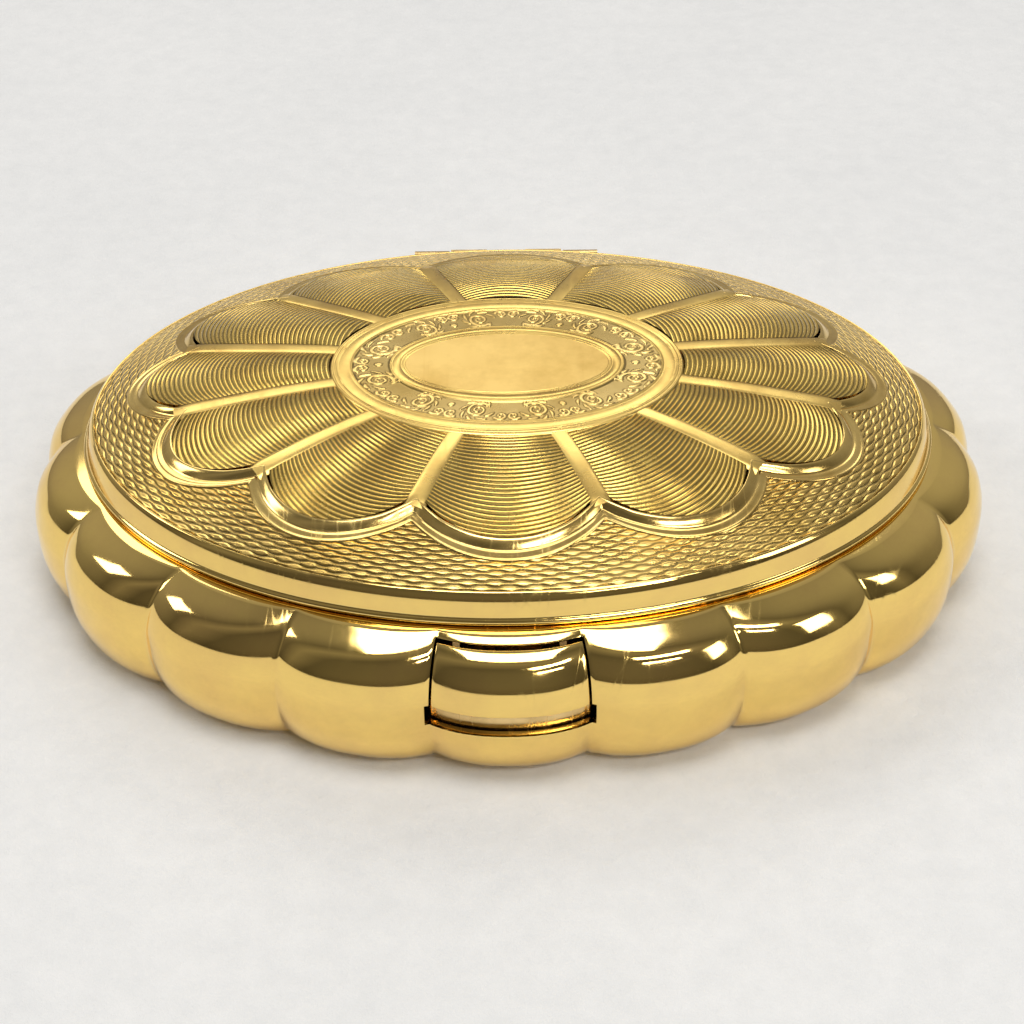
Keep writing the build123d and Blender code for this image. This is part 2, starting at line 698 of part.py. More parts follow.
with BuildPart() as pawl_guides:
    rail_x = pawl_half_width + guide_clearance
    rail_bottom = pawl_z - guide_clearance - guide_thickness
    for side in (-1, 1):
        with Locations((side * (rail_x + guide_thickness / 2), catch_bar_y, rail_bottom)):
            Box(guide_thickness, guide_length, shoulder_under_z - rail_bottom, align=BACK_STANDING)
        with Locations((side * (rail_x - guide_lip / 2), catch_bar_y, rail_bottom)):
            Box(guide_lip, guide_length, guide_thickness, align=BACK_STANDING)
pawl_guides.part.label = "pawl_guides"
export_step(pawl_guides.part, "parts/pawl_guides.step")

with BuildPart() as catch_shield:
    with BuildSketch(Plane.XY.offset(body_wall)):
        with BuildLine():
            front = shield_y
            ends = front + shield_sagitta
            ThreePointArc((-shield_half_width, ends), (0, front), (shield_half_width, ends))
            Line((shield_half_width, ends), (shield_half_width, ends + shield_thickness))
            ThreePointArc(
                (shield_half_width, ends + shield_thickness),
                (0, front + shield_thickness),
                (-shield_half_width, ends + shield_thickness),
            )
            Line((-shield_half_width, ends + shield_thickness), (-shield_half_width, ends))
        make_face()
    extrude(amount=shield_top_z - body_wall)
    add(body_inside, mode=Mode.INTERSECT)
    with BuildSketch(shield_rivet_plane):
        Circle(rivet_radius)
    extrude(amount=rim_half_width, both=True, mode=Mode.SUBTRACT)
catch_shield.part.label = "catch_shield"
export_step(catch_shield.part, "parts/catch_shield.step")

with BuildPart() as catch_spring:
    with BuildSketch(Plane.YZ):
        with BuildLine():
            Polyline(
                (spring_y, spring_bottom_z),
                (spring_y, shield_top_z + spring_thickness),
                (spring_tip_y, spring_tip_z),
            )
        trace(line_width=spring_thickness)
    extrude(amount=spring_half_width, both=True)
    with BuildSketch(shield_rivet_plane):
        Circle(rivet_radius)
    extrude(amount=rim_half_width, both=True, mode=Mode.SUBTRACT)
catch_spring.part.label = "catch_spring"
export_step(catch_spring.part, "parts/catch_spring.step")

with BuildPart() as catch_spring_rivet:
    with BuildSketch(shield_rivet_plane):
        Circle(rivet_radius)
    extrude(amount=shield_thickness + spring_seat + spring_thickness)
    with BuildSketch(shield_rivet_plane.offset(shield_thickness + spring_seat + spring_thickness)):
        Circle(rivet_head_radius)
    extrude(amount=rivet_head)
catch_spring_rivet.part.label = "catch_spring_rivet"
export_step(catch_spring_rivet.part, "parts/catch_spring_rivet.step")
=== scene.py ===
# %% [markdown]
# # A gilt powder compact, closed
#
# The compact is an oval brass box. Its body is pressed into eighteen fat flutes, like a melon,
# and mirror polished. Its lid is a low dome that an engine-turning lathe has cut all over with
# fine lines: twelve petals of nested arcs, a field of barleycorn round them, and a band of
# engraved scrolls round a plain oval for a monogram.
#
# The plan of this lesson is: load the measured frame, set up the camera and the light, make the
# finishes, then work out each surface as a formula on a grid of points.

import json
import math

import bmesh
import bpy
import numpy as np
from mathutils import Matrix, Vector


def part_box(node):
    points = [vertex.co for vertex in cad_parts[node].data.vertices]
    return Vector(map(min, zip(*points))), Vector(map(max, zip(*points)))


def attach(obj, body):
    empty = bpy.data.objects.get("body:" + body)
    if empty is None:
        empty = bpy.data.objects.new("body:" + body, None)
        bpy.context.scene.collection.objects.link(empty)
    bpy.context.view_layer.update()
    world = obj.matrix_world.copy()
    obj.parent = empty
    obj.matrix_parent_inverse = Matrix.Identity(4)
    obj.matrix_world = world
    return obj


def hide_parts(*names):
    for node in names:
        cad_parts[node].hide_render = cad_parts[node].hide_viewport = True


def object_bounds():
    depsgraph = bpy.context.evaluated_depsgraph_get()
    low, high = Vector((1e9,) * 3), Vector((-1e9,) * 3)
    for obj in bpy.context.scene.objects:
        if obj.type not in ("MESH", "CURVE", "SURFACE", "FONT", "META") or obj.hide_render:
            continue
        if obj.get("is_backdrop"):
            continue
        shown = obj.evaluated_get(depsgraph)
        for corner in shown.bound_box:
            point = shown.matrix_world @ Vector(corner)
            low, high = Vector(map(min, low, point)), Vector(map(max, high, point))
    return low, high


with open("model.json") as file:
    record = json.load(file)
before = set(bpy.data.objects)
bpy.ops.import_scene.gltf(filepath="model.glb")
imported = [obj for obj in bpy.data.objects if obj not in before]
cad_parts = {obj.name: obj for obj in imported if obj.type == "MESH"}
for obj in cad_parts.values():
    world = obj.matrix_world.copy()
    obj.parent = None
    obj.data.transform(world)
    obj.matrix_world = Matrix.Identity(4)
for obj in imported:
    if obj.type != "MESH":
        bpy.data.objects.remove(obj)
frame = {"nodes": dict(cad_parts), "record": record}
cad_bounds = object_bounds()
MM = 0.001

# %% [markdown]
# ## The sizes that everything is worked out from
#
# The lid's rim is an oval, and the frame already knows it: the lid's node is as wide as that
# oval plus its bead. Reading the boxes keeps the looks and the measured model in step.

# %% Read the main sizes
lid_low, lid_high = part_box("lid_cover")
_, body_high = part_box("body_shell")
button_low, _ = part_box("catch_button")
_, plate_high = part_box("base_plate")
_, collar_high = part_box("inner_collar")

BEAD = 0.4 * MM
RIM_A = lid_high.x - BEAD
RIM_B = lid_high.y - BEAD
LID_BOTTOM = lid_low.z
FLANK_HEIGHT = 1.9 * MM
RIM_TOP = LID_BOTTOM + FLANK_HEIGHT
LID_SKIRT = 0.55 * MM
SEAM = body_high.z - LID_SKIRT
SHOULDER_ROLL = 0.12 * MM
SHOULDER = SEAM - SHOULDER_ROLL
print(f"rim {RIM_A / MM:.1f} by {RIM_B / MM:.1f} mm, seam at {SEAM / MM:.1f} mm")

# %% [markdown]
# ## The camera
#
# A compact on a table is looked at from above and close up, so the near flutes look larger than
# the far ones. A camera can be placed by six numbers for its position and rotation, but those are
# hard to judge. Here it is given its angle above the table, its distance, the point that it looks
# at and its roll, and the rotation is worked out from them.

# %% Place the camera
CAMERA_ELEVATION = math.radians(39.0)
CAMERA_DISTANCE = 188.0 * MM
CAMERA_AIM = np.array([0.3, 3.7, 0.0]) * MM
CAMERA_ROLL = math.radians(-0.63)
FOCAL_LENGTH = 70.3
SENSOR_WIDTH = 36.0
NEAREST_SEEN = 0.005


def aim(obj, place, target, roll=0.0):
    """Points an object's -Z axis from a place at a target, then rolls it about that axis."""
    look = Vector(target) - Vector(place)
    turn = look.to_track_quat("-Z", "Y").to_matrix().to_4x4()
    obj.matrix_world = Matrix.Translation(place) @ turn @ Matrix.Rotation(roll, 4, "Z")


camera = bpy.data.objects.new("camera", bpy.data.cameras.new("camera"))
bpy.context.scene.collection.objects.link(camera)
camera.data.lens = FOCAL_LENGTH
camera.data.sensor_width = SENSOR_WIDTH
camera.data.clip_start = NEAREST_SEEN
back = np.array([0.0, -math.cos(CAMERA_ELEVATION), math.sin(CAMERA_ELEVATION)])
aim(camera, CAMERA_AIM + CAMERA_DISTANCE * back, CAMERA_AIM, CAMERA_ROLL)
bpy.context.scene.camera = camera
bpy.context.scene.view_settings.view_transform = "Standard"
print("camera at", [round(c / MM) for c in camera.matrix_world.translation])

# %% [markdown]
# ## The room
#
# Polished metal has no look of its own: it shows the room. A gilt flute looks rich when it
# reflects a pale table below, a dim warm room at eye level, and bright windows above. A picture
# of a room could be wrapped round the scene, but a made one can be tuned. So the world is a soft
# gradient, darkest on the viewer's side and brightest on the far side, and six soft boxes stand
# in for the ceiling light and the windows.

# %% Make the room and its lights
def node_tree(block):
    """Switches a world or material to nodes and returns its emptied tree."""
    block.use_nodes = True
    block.node_tree.nodes.clear()
    return block.node_tree


def add_node(tree, kind, **settings):
    """Adds a shader node, setting attributes by name and sockets by their label."""
    node = tree.nodes.new(kind)
    for key, value in settings.items():
        if hasattr(node, key):
            setattr(node, key, value)
        else:
            node.inputs[key.replace("_", " ")].default_value = value
    return node


def ramp(tree, source, stops):
    """A colour ramp over stops given as (position, colour)."""
    node = tree.nodes.new("ShaderNodeValToRGB")
    while len(node.color_ramp.elements) < len(stops):
        node.color_ramp.elements.new(0.5)
    for element, (position, colour) in zip(node.color_ramp.elements, stops):
        element.position = position
        element.color = (*colour, 1.0)
    tree.links.new(source, node.inputs[0])
    return node.outputs[0]


def colour_product(tree, first, second):
    """Two colours multiplied. Sockets 6, 7 and 2 are the Mix node's colours and its result."""
    mix = tree.nodes.new("ShaderNodeMix")
    mix.data_type = "RGBA"
    mix.blend_type = "MULTIPLY"
    mix.inputs["Factor"].default_value = 1.0
    tree.links.new(first, mix.inputs[6])
    tree.links.new(second, mix.inputs[7])
    return mix.outputs[2]


def split_place(tree, kind="Object"):
    """The x, y and z sockets of one of the texture coordinates."""
    split = tree.nodes.new("ShaderNodeSeparateXYZ")
    tree.links.new(tree.nodes.new("ShaderNodeTexCoord").outputs[kind], split.inputs[0])
    return split.outputs


def give_surface(tree, shader, kind="Material"):
    """Links a shader to the output of a material or of the world."""
    out = tree.nodes.new("ShaderNodeOutput" + kind)
    tree.links.new(shader.outputs[0], out.inputs["Surface"])


def make_world():
    """The room: a ramp over the direction's y, times a ramp over its z.

    It is dim where the viewer stands, brighter at the far side and darkest at the horizon.
    """
    world = bpy.data.worlds.new("room")
    bpy.context.scene.world = world
    tree = node_tree(world)
    heading = split_place(tree, "Generated")
    half = add_node(tree, "ShaderNodeMapRange", From_Min=-1.0)
    tree.links.new(heading["Y"], half.inputs["Value"])
    deep = ramp(tree, half.outputs[0], [
        (0.00, (0.17, 0.16, 0.145)),
        (0.20, (0.10, 0.095, 0.085)),
        (0.32, (0.24, 0.23, 0.21)),
        (0.42, (0.12, 0.115, 0.105)),
        (0.52, (0.22, 0.215, 0.205)),
        (0.80, (0.42, 0.415, 0.40)),
        (1.00, (0.46, 0.45, 0.44)),
    ])
    tall = ramp(tree, heading["Z"], [
        (0.00, (0.62, 0.60, 0.57)),
        (0.25, (0.85, 0.84, 0.82)),
        (0.60, (1.00, 1.00, 1.00)),
        (1.00, (1.00, 1.00, 1.00)),
    ])
    light = add_node(tree, "ShaderNodeBackground", Strength=1.0)
    tree.links.new(colour_product(tree, deep, tall), light.inputs["Color"])
    give_surface(tree, light, "World")


def soft_box(name, place, width, height, power, tint):
    """A rectangular studio light that points at the compact."""
    data = bpy.data.lights.new(name, "AREA")
    data.shape = "RECTANGLE"
    data.size = width
    data.size_y = height
    data.energy = power
    data.color = tint
    obj = bpy.data.objects.new(name, data)
    bpy.context.scene.collection.objects.link(obj)
    aim(obj, place, (0, 0, 0))


make_world()
soft_box("window_behind", (-0.10, 0.60, 0.62), 0.70, 0.26, 1.3, (1.0, 0.99, 0.97))
soft_box("window_left", (-0.60, 0.05, 0.45), 0.20, 0.26, 0.8, (1.0, 0.98, 0.95))
soft_box("ceiling", (0.0, -0.10, 1.1), 0.55, 0.40, 4.35, (1.0, 0.99, 0.98))
soft_box("window_right", (0.50, -0.28, 0.34), 0.16, 0.20, 0.5, (1.0, 0.99, 0.96))
soft_box("window_front", (0.20, -0.36, 0.52), 0.26, 0.06, 0.8, (1.0, 0.99, 0.96))
soft_box("window_low", (0.24, -0.52, 0.46), 0.20, 0.03, 0.35, (1.0, 0.98, 0.95))

# %% [markdown]
# ## The finishes
#
# Gilding is a film of gold on polished brass. Three things make it look real: a saturated
# yellow reflection, hairline scratches that run in every direction from years in a handbag, and
# a little tarnish where fingers don't rub. Painted pictures could give all three, but they would
# need unwrapping and would blur close up. Noises worked out from Object coordinates stay sharp and
# fit any piece, so every gilt finish is one function called with other colours and roughness.

# %% Make the gilt finishes
def noise(tree, scale, detail=3.0, roughness=0.55, stretch=None, rotate=(0, 0, 0)):
    """A noise texture on Object coordinates, turned and stretched if asked."""
    source = tree.nodes.new("ShaderNodeTexCoord").outputs["Object"]
    if stretch is not None:
        mapping = add_node(tree, "ShaderNodeMapping", Scale=stretch, Rotation=rotate)
        tree.links.new(source, mapping.inputs["Vector"])
        source = mapping.outputs[0]
    texture = add_node(
        tree, "ShaderNodeTexNoise", Scale=scale, Detail=detail, Roughness=roughness
    )
    tree.links.new(source, texture.inputs["Vector"])
    return texture.outputs["Fac"]


def spread(tree, source, low, high, to_low, to_high):
    """Maps a value from one range to another, clamped."""
    node = add_node(
        tree, "ShaderNodeMapRange", From_Min=low, From_Max=high, To_Min=to_low, To_Max=to_high
    )
    tree.links.new(source, node.inputs["Value"])
    return node.outputs[0]


def maths(tree, operation, first, second=None):
    """One arithmetic step on two sockets or numbers."""
    node = add_node(tree, "ShaderNodeMath", operation=operation)
    for socket, value in zip(node.inputs, (first, second)):
        if value is None:
            continue
        if isinstance(value, (int, float)):
            socket.default_value = value
        else:
            tree.links.new(value, socket)
    return node.outputs[0]


def bump(tree, height, distance, strength=1.0, under=None):
    """A bump from a height socket, in metres of distance, on top of another bump's normal."""
    node = add_node(tree, "ShaderNodeBump", Strength=strength, Distance=distance)
    tree.links.new(height, node.inputs["Height"])
    if under is not None:
        tree.links.new(under, node.inputs["Normal"])
    return node.outputs[0]


def scratches(tree, count=3, scale=260.0, thinness=0.012):
    """Hairlines: stretched noises in several directions, kept only near their middle value.

    Height is 1 - |noise - 0.5| / thinness, the largest of the directions, times soft patches.
    """
    total = None
    for turn in range(count):
        heading = (0.2 * turn, 0.15, 0.4 + turn * math.pi / count)
        lines = noise(tree, scale, 1.0, 0.5, stretch=(1.0, 0.035, 0.3), rotate=heading)
        away = maths(tree, "ABSOLUTE", maths(tree, "SUBTRACT", lines, 0.5))
        line = spread(tree, away, 0.0, thinness, 1.0, 0.0)
        total = line if total is None else maths(tree, "MAXIMUM", total, line)
    patches = spread(tree, noise(tree, 90.0, 2.0), 0.45, 0.65, 0.0, 1.0)
    return maths(tree, "MULTIPLY", total, patches)


def metal(tree, colour, roughness, normal):
    """A metal whose colour, roughness and normal are sockets, linked to the output."""
    shader = add_node(tree, "ShaderNodeBsdfPrincipled", Metallic=1.0)
    tree.links.new(colour, shader.inputs["Base Color"])
    tree.links.new(roughness, shader.inputs["Roughness"])
    tree.links.new(normal, shader.inputs["Normal"])
    give_surface(tree, shader)


def gilt(name, bright, dull, smooth, rough, hairlines=0.000004, wave=0.00002):
    """A gilt metal: two golds mixed by patchy tarnish, roughness from wear, hairline bump."""
    material = bpy.data.materials.new(name)
    tree = node_tree(material)
    tarnish = spread(tree, noise(tree, 140.0, 5.0, 0.65), 0.42, 0.68, 0.0, 1.0)
    colour = ramp(tree, tarnish, [(0.0, bright), (1.0, dull)])
    smudge = spread(tree, noise(tree, 380.0, 4.0, 0.6), 0.3, 0.7, smooth, rough)
    hair = scratches(tree)
    finish = maths(tree, "ADD", smudge, maths(tree, "MULTIPLY", hair, 0.12))
    soft = bump(tree, noise(tree, 110.0, 1.0), wave, 0.6)
    metal(tree, colour, finish, bump(tree, hair, hairlines, 0.5, soft))
    return material


GOLD = (0.96, 0.68, 0.21)
GOLD_DULL = (0.66, 0.43, 0.12)
BRASS = (0.82, 0.58, 0.25)
BRASS_DULL = (0.55, 0.36, 0.14)
STEEL = (0.62, 0.60, 0.57)

polished = gilt("polished gilt", GOLD, (0.88, 0.60, 0.20), 0.045, 0.10)
satin = gilt("satin gilt", (0.90, 0.63, 0.19), GOLD_DULL, 0.24, 0.34)
matt = gilt("matt gilt", (0.84, 0.59, 0.20), GOLD_DULL, 0.40, 0.50)
burnished = gilt("burnished gilt", (0.92, 0.66, 0.23), GOLD_DULL, 0.11, 0.20)
brass_inside = gilt("inside brass", (0.86, 0.62, 0.28), BRASS_DULL, 0.16, 0.30)
spring_brass = gilt("spring brass", BRASS, BRASS_DULL, 0.18, 0.34)
pin_steel = gilt("pin steel", STEEL, (0.36, 0.34, 0.31), 0.16, 0.30)
print("gilt finishes:", len(bpy.data.materials))

# %% [markdown]
# ## Grids of points
#
# Every new piece is a grid: a function of two parameters gives a place for each point, and
# neighbouring points are joined into quads. Such shapes could be modelled by hand from boxes, but
# a formula keeps neighbouring pieces in step, and a size can be changed later in one place. One
# helper makes arrays of points into a patch with its own pattern map, and another joins patches
# into one object.

# %% Grid helpers
WELD = 1e-7


def grid_faces(rows, columns, closed=False, keep=None):
    """Quads of a grid in row order: corner, next column, next row and column, next row.

    closed joins the last column to the first; keep is a mask of the quads that stay.
    """
    index = np.arange(rows * columns).reshape(rows, columns)
    right = np.roll(index, -1, axis=1) if closed else index[:, 1:]
    left = index if closed else index[:, :-1]
    quads = np.stack([left[:-1], right[:-1], right[1:], left[1:]], axis=-1)
    if keep is not None:
        quads = quads[keep]
    return quads.reshape(-1, 4)


def joined(patches):
    """Joins patches of (points, quads, uv at each corner) into one set of arrays."""
    points, quads, uvs, first = [], [], [], 0
    for patch_points, patch_quads, patch_uv in patches:
        points.append(patch_points)
        quads.append(patch_quads + first)
        uvs.append(patch_uv)
        first += len(patch_points)
    return np.concatenate(points), np.concatenate(quads), np.concatenate(uvs)


def patch(x, y, z, u=None, v=None, closed=False, keep=None, flip=False):
    """One grid as a patch; u and v are given at the points, and a closed grid's last quad
    gets the next whole turn of u."""
    rows, columns = x.shape
    points = np.stack([x, y, z], axis=-1).reshape(-1, 3)
    quads = grid_faces(rows, columns, closed, keep)
    if u is None:
        u = np.broadcast_to(np.arange(columns, dtype=float), x.shape)
        v = np.broadcast_to(np.arange(rows, dtype=float)[:, None], x.shape)
    uv = np.stack([u, v], axis=-1).reshape(-1, 2)[quads]
    if closed:
        step = u[:, -1] - u[:, -2]
        whole = (u[:, -1] + step - u[:, 0])[quads // columns]
        wraps = (quads % columns == 0) & (quads[:, :1] % columns == columns - 1)
        uv[..., 0] += np.where(wraps, whole, 0.0)
    if flip:
        quads, uv = quads[:, ::-1], uv[:, ::-1]
    return points, quads, uv


def make_piece(name, patches, body, material):
    """A mesh object from patches: joined, welded along shared edges, shaded smooth."""
    points, quads, uvs = joined(patches)
    mesh = bpy.data.meshes.new(name)
    mesh.vertices.add(len(points))
    mesh.vertices.foreach_set("co", points.astype(np.float32).ravel())
    mesh.loops.add(quads.size)
    mesh.loops.foreach_set("vertex_index", quads.ravel().astype(np.int32))
    mesh.polygons.add(len(quads))
    mesh.polygons.foreach_set("loop_start", np.arange(0, quads.size, 4, dtype=np.int32))
    layer = mesh.uv_layers.new(name="pattern")
    layer.data.foreach_set("uv", uvs.astype(np.float32).ravel())
    mesh.update(calc_edges=True)
    mesh.validate()
    shape = bmesh.new()
    shape.from_mesh(mesh)
    bmesh.ops.remove_doubles(shape, verts=shape.verts, dist=WELD)
    bmesh.ops.dissolve_degenerate(shape, edges=shape.edges, dist=WELD)
    shape.to_mesh(mesh)
    shape.free()
    mesh.polygons.foreach_set("use_smooth", np.full(len(mesh.polygons), True))
    mesh.update()
    piece = bpy.data.objects.new(name, mesh)
    bpy.context.scene.collection.objects.link(piece)
    mesh.materials.append(material)
    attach(piece, body)
    print(f"{name}: {len(mesh.vertices)} points, {len(mesh.polygons)} faces")
    return piece


def give_wall(piece, thickness, name="wall", side=-1.0):
    """Thickens a surface by a Solidify modifier: side -1 is inwards and 1 is outwards."""
    wall = piece.modifiers.new(name, "SOLIDIFY")
    wall.thickness = thickness
    wall.offset = side
    return wall


def round_edges(piece, width, segments, sharper_than):
    """Rounds the edges that turn by more than an angle, given in degrees."""
    edge = piece.modifiers.new("edge", "BEVEL")
    edge.width = width
    edge.segments = segments
    edge.limit_method = "ANGLE"
    edge.angle_limit = math.radians(sharper_than)


# %% [markdown]
# ## Ovals
#
# Every ring on the compact is an oval, but not all have the same shape: the rim is about seven
# tenths as wide as it is long, and the plain oval in the middle only half. An oval is written as
# its two half axes, and a point on it by the angle t of the formula x = a cos t, y = b sin t.
# Equal steps of t are not equal lengths, so the flutes and scrolls are spaced by a helper that
# adds up the length and looks the angle up in it.

# %% Oval helpers
def even_angles(half_length, half_width, count, fine=20000):
    """Angles t at equal lengths round an oval, from the front (-Y) towards +X.

    The length is the running sum of hypot(a sin t, b cos t) dt, and t is looked up in it.
    """
    t = np.linspace(-math.pi / 2, 1.5 * math.pi, fine + 1)
    speed = np.hypot(half_length * np.sin(t), half_width * np.cos(t))
    length = np.concatenate([[0.0], np.cumsum((speed[1:] + speed[:-1]) / 2 * np.diff(t))])
    return np.interp(np.linspace(0.0, length[-1], count + 1), length, t), length[-1]


RIM_SAMPLES = 1440
RIM_TURN, RIM_LENGTH = even_angles(RIM_A, RIM_B, RIM_SAMPLES)
print(f"the rim is {RIM_LENGTH / MM:.1f} mm round")

# %% [markdown]
# ## The fluted body
#
# On the real compact the body is one pressing: a sheet of brass forced into a fluted die. The
# flutes are narrow at the table, swell quickly to their widest a little below half height, and
# run in again to the shoulder under the lid. Between two flutes is a sharp crease.
#
# One flute could be modelled and copied round the oval, but no two flutes of an oval have the
# same curve. So the surface is a function of the way round the rim and the height z. Two smooth
# curves of z say how far the creases and the flute middles stand outside the rim, and across
# each flute the distance swells from the one to the other on a flattened arc.

# %% Fluted surface
FLUTES = 18
FLUTE_SAMPLES = 40
FLUTE_LEVELS = np.array([0.0, 0.06, 0.125, 0.25, 0.50, 0.70, 0.85, 0.94, 1.0])
CREASE_LEVELS = np.array([1.9, 3.0, 3.65, 4.3, 4.7, 4.45, 3.6, 2.5, 1.2]) * MM
MIDDLE_LEVELS = np.array([3.1, 4.25, 4.9, 5.5, 5.85, 5.6, 4.75, 3.5, 1.7]) * MM
ARC_POWER = 2.4


def smooth_curve(knots, values, at):
    """A cubic through the knots; its slope at a knot is numpy's centred difference there."""
    slopes = np.gradient(values, knots)
    index = np.clip(np.searchsorted(knots, at, side="right") - 1, 0, len(knots) - 2)
    width = knots[index + 1] - knots[index]
    s = (at - knots[index]) / width
    return (
        (2 * s**3 - 3 * s**2 + 1) * values[index]
        + (s**3 - 2 * s**2 + s) * width * slopes[index]
        + (3 * s**2 - 2 * s**3) * values[index + 1]
        + (s**3 - s**2) * width * slopes[index + 1]
    )


def flute_offset(across, height):
    """How far the skin stands outside the rim: crease + (middle - crease) * arc(across).

    across runs from -1 at one crease to 1 at the next; the arc is 1 - |across|^2.4.
    """
    share = np.clip(height / SHOULDER, 0.0, 1.0)
    crease = smooth_curve(FLUTE_LEVELS, CREASE_LEVELS, share)
    middle = smooth_curve(FLUTE_LEVELS, MIDDLE_LEVELS, share)
    return crease + (middle - crease) * (1.0 - np.abs(across) ** ARC_POWER)


def across_flute(columns):
    """Where a column is across its flute, from -1 to 1: twice its distance from a whole flute."""
    place = columns / FLUTE_SAMPLES
    return 2.0 * (place - np.round(place))


def fan_out(turn, offset):
    """The rim's point, moved away from the lid's middle until it stands offset outside the rim.

    The move is offset divided by the cosine between the radius and the rim's normal.
    """
    rim_x, rim_y = RIM_A * np.cos(turn), RIM_B * np.sin(turn)
    normal_x, normal_y = RIM_B * np.cos(turn), RIM_A * np.sin(turn)
    radius, size = np.hypot(rim_x, rim_y), np.hypot(normal_x, normal_y)
    slant = (rim_x * normal_x + rim_y * normal_y) / (radius * size)
    move = offset / slant / radius
    return rim_x * (1 + move), rim_y * (1 + move)


RIM_FINE, _ = even_angles(RIM_A, RIM_B, FLUTES * FLUTE_SAMPLES)


def column_turn(columns):
    """The oval angle of each column, counted from the front; columns may be fractions."""
    whole = FLUTES * FLUTE_SAMPLES
    return np.interp(np.mod(columns, whole), np.arange(whole + 1), RIM_FINE)


def fluted_skin(columns, heights, inward=0.0):
    """Points of the fluted skin for columns of samples and an array of heights."""
    offset = flute_offset(across_flute(columns)[None, :], heights[:, None]) - inward
    x, y = fan_out(column_turn(columns)[None, :], offset)
    z = np.broadcast_to(heights[:, None], x.shape)
    return x, y, z


print("a flute's middle stands up to", round(MIDDLE_LEVELS.max() / MM, 1), "mm outside the rim")

# %% Press the body
HOLE_HALF = FLUTE_SAMPLES // 2
SLOT_HALF = HOLE_HALF + 1
SLOT_HEIGHT = 2.0 * MM
BUTTON_BOTTOM = button_low.z - 0.7 * MM
BUTTON_TOP = SHOULDER - 0.42 * MM
SLOT_BOTTOM = BUTTON_BOTTOM - SLOT_HEIGHT
HOLE_TOP = BUTTON_TOP + 0.17 * MM
OPENING_INSET = RIM_A - plate_high.x
MOUTH_INSET = RIM_A - collar_high.x
BODY_WALL = 0.62 * MM
WALL_ROWS = 40
NEAREST_ROW = 0.06 * MM


def press_body():
    """Floor ring, fluted wall and shoulder as one grid of rows, with the catch's hole left out.

    A floor or shoulder row is the fluted row it grows from, blended towards an oval.
    """
    columns = np.arange(-FLUTES * FLUTE_SAMPLES // 2, FLUTES * FLUTE_SAMPLES // 2)
    edges = np.array([SLOT_BOTTOM, BUTTON_BOTTOM, HOLE_TOP])
    wall = SHOULDER * np.sin(np.linspace(0.03, 1.0, WALL_ROWS) * math.pi / 2) ** 1.3
    clear = np.abs(wall[:, None] - edges).min(axis=1) > NEAREST_ROW
    wall = np.sort(np.concatenate([wall[clear & (wall > 0.1 * MM)], edges]))
    x, y, z = fluted_skin(columns, wall)
    turn = column_turn(columns)
    across = across_flute(columns)

    def row(height, fluted, oval):
        """One row: fluted is the flutes' share, and oval the offset that it is blended to."""
        offset = fluted * flute_offset(across, np.float64(height)) + (1 - fluted) * oval
        px, py = fan_out(turn, offset)
        return px, py, np.full_like(px, height)

    floor = [(0.0, 0.0), (0.0, 0.5), (0.0, 0.94), (0.03 * MM, 0.98)]
    below = [row(height, fluted, -OPENING_INSET) for height, fluted in floor]
    above = [
        row(SHOULDER + 0.05 * MM, 0.5, 0.9 * MM),
        row(SEAM - 0.03 * MM, 0.0, 0.6 * MM),
        row(SEAM, 0.0, 0.3 * MM),
        row(SEAM, 0.0, -1.0 * MM),
        row(SEAM, 0.0, -MOUTH_INSET),
    ]
    rows = below + list(zip(x, y, z)) + above
    x, y, z = (np.array([r[i] for r in rows]) for i in range(3))

    middle_z = (z[:-1, 0] + z[1:, 0]) / 2
    keep = np.ones((len(rows) - 1, len(columns)), dtype=bool)
    strip = np.arange(len(rows) - 1)
    in_wall = (strip >= len(below)) & (strip < len(rows) - len(above))
    hole = in_wall & (middle_z > BUTTON_BOTTOM) & (middle_z < HOLE_TOP)
    slot = in_wall & (middle_z > SLOT_BOTTOM) & (middle_z < BUTTON_BOTTOM)
    keep[np.ix_(hole, (columns >= -HOLE_HALF) & (columns < HOLE_HALF))] = False
    keep[np.ix_(slot, (columns >= -SLOT_HALF) & (columns < SLOT_HALF))] = False
    return patch(x, y, z, closed=True, keep=keep)


def thin_over_hole(piece, share=0.25, reach=8 * MM):
    """Weights for the wall: 1 everywhere, but share in the shoulder over the push piece.

    The push piece slides in under the shoulder there and needs the room.
    """
    points = np.empty(len(piece.data.vertices) * 3, dtype=np.float32)
    piece.data.vertices.foreach_get("co", points)
    x, y, z = points.reshape(-1, 3).T
    outside = (x / RIM_A) ** 2 + (y / RIM_B) ** 2 > 1.005
    thin = outside & (y < 0) & (np.abs(x) < reach) & (z > HOLE_TOP - 0.01 * MM)
    group = piece.vertex_groups.new(name="wall")
    group.add(np.flatnonzero(~thin).tolist(), 1.0, "REPLACE")
    group.add(np.flatnonzero(thin).tolist(), share, "REPLACE")
    return group.name


body = make_piece("fluted_body", [press_body()], "base", polished)
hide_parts("body_shell")
give_wall(body, BODY_WALL).vertex_group = thin_over_hole(body)
round_edges(body, 0.07 * MM, 2, 50)

# %% [markdown]
# ## The push piece
#
# The catch is hidden in the pattern: the upper part of the front flute is a separate piece that
# is pushed in. It could be cut out of the body with a Boolean modifier, but a cut through a thin
# curved wall leaves ragged faces. It is worked out from the same formula as the body instead, so
# its flute runs on from its neighbours without a step, and only a hairline gap and the finger
# slot below give it away.

# %% Cut the push piece
SIDE_GAP = 0.6


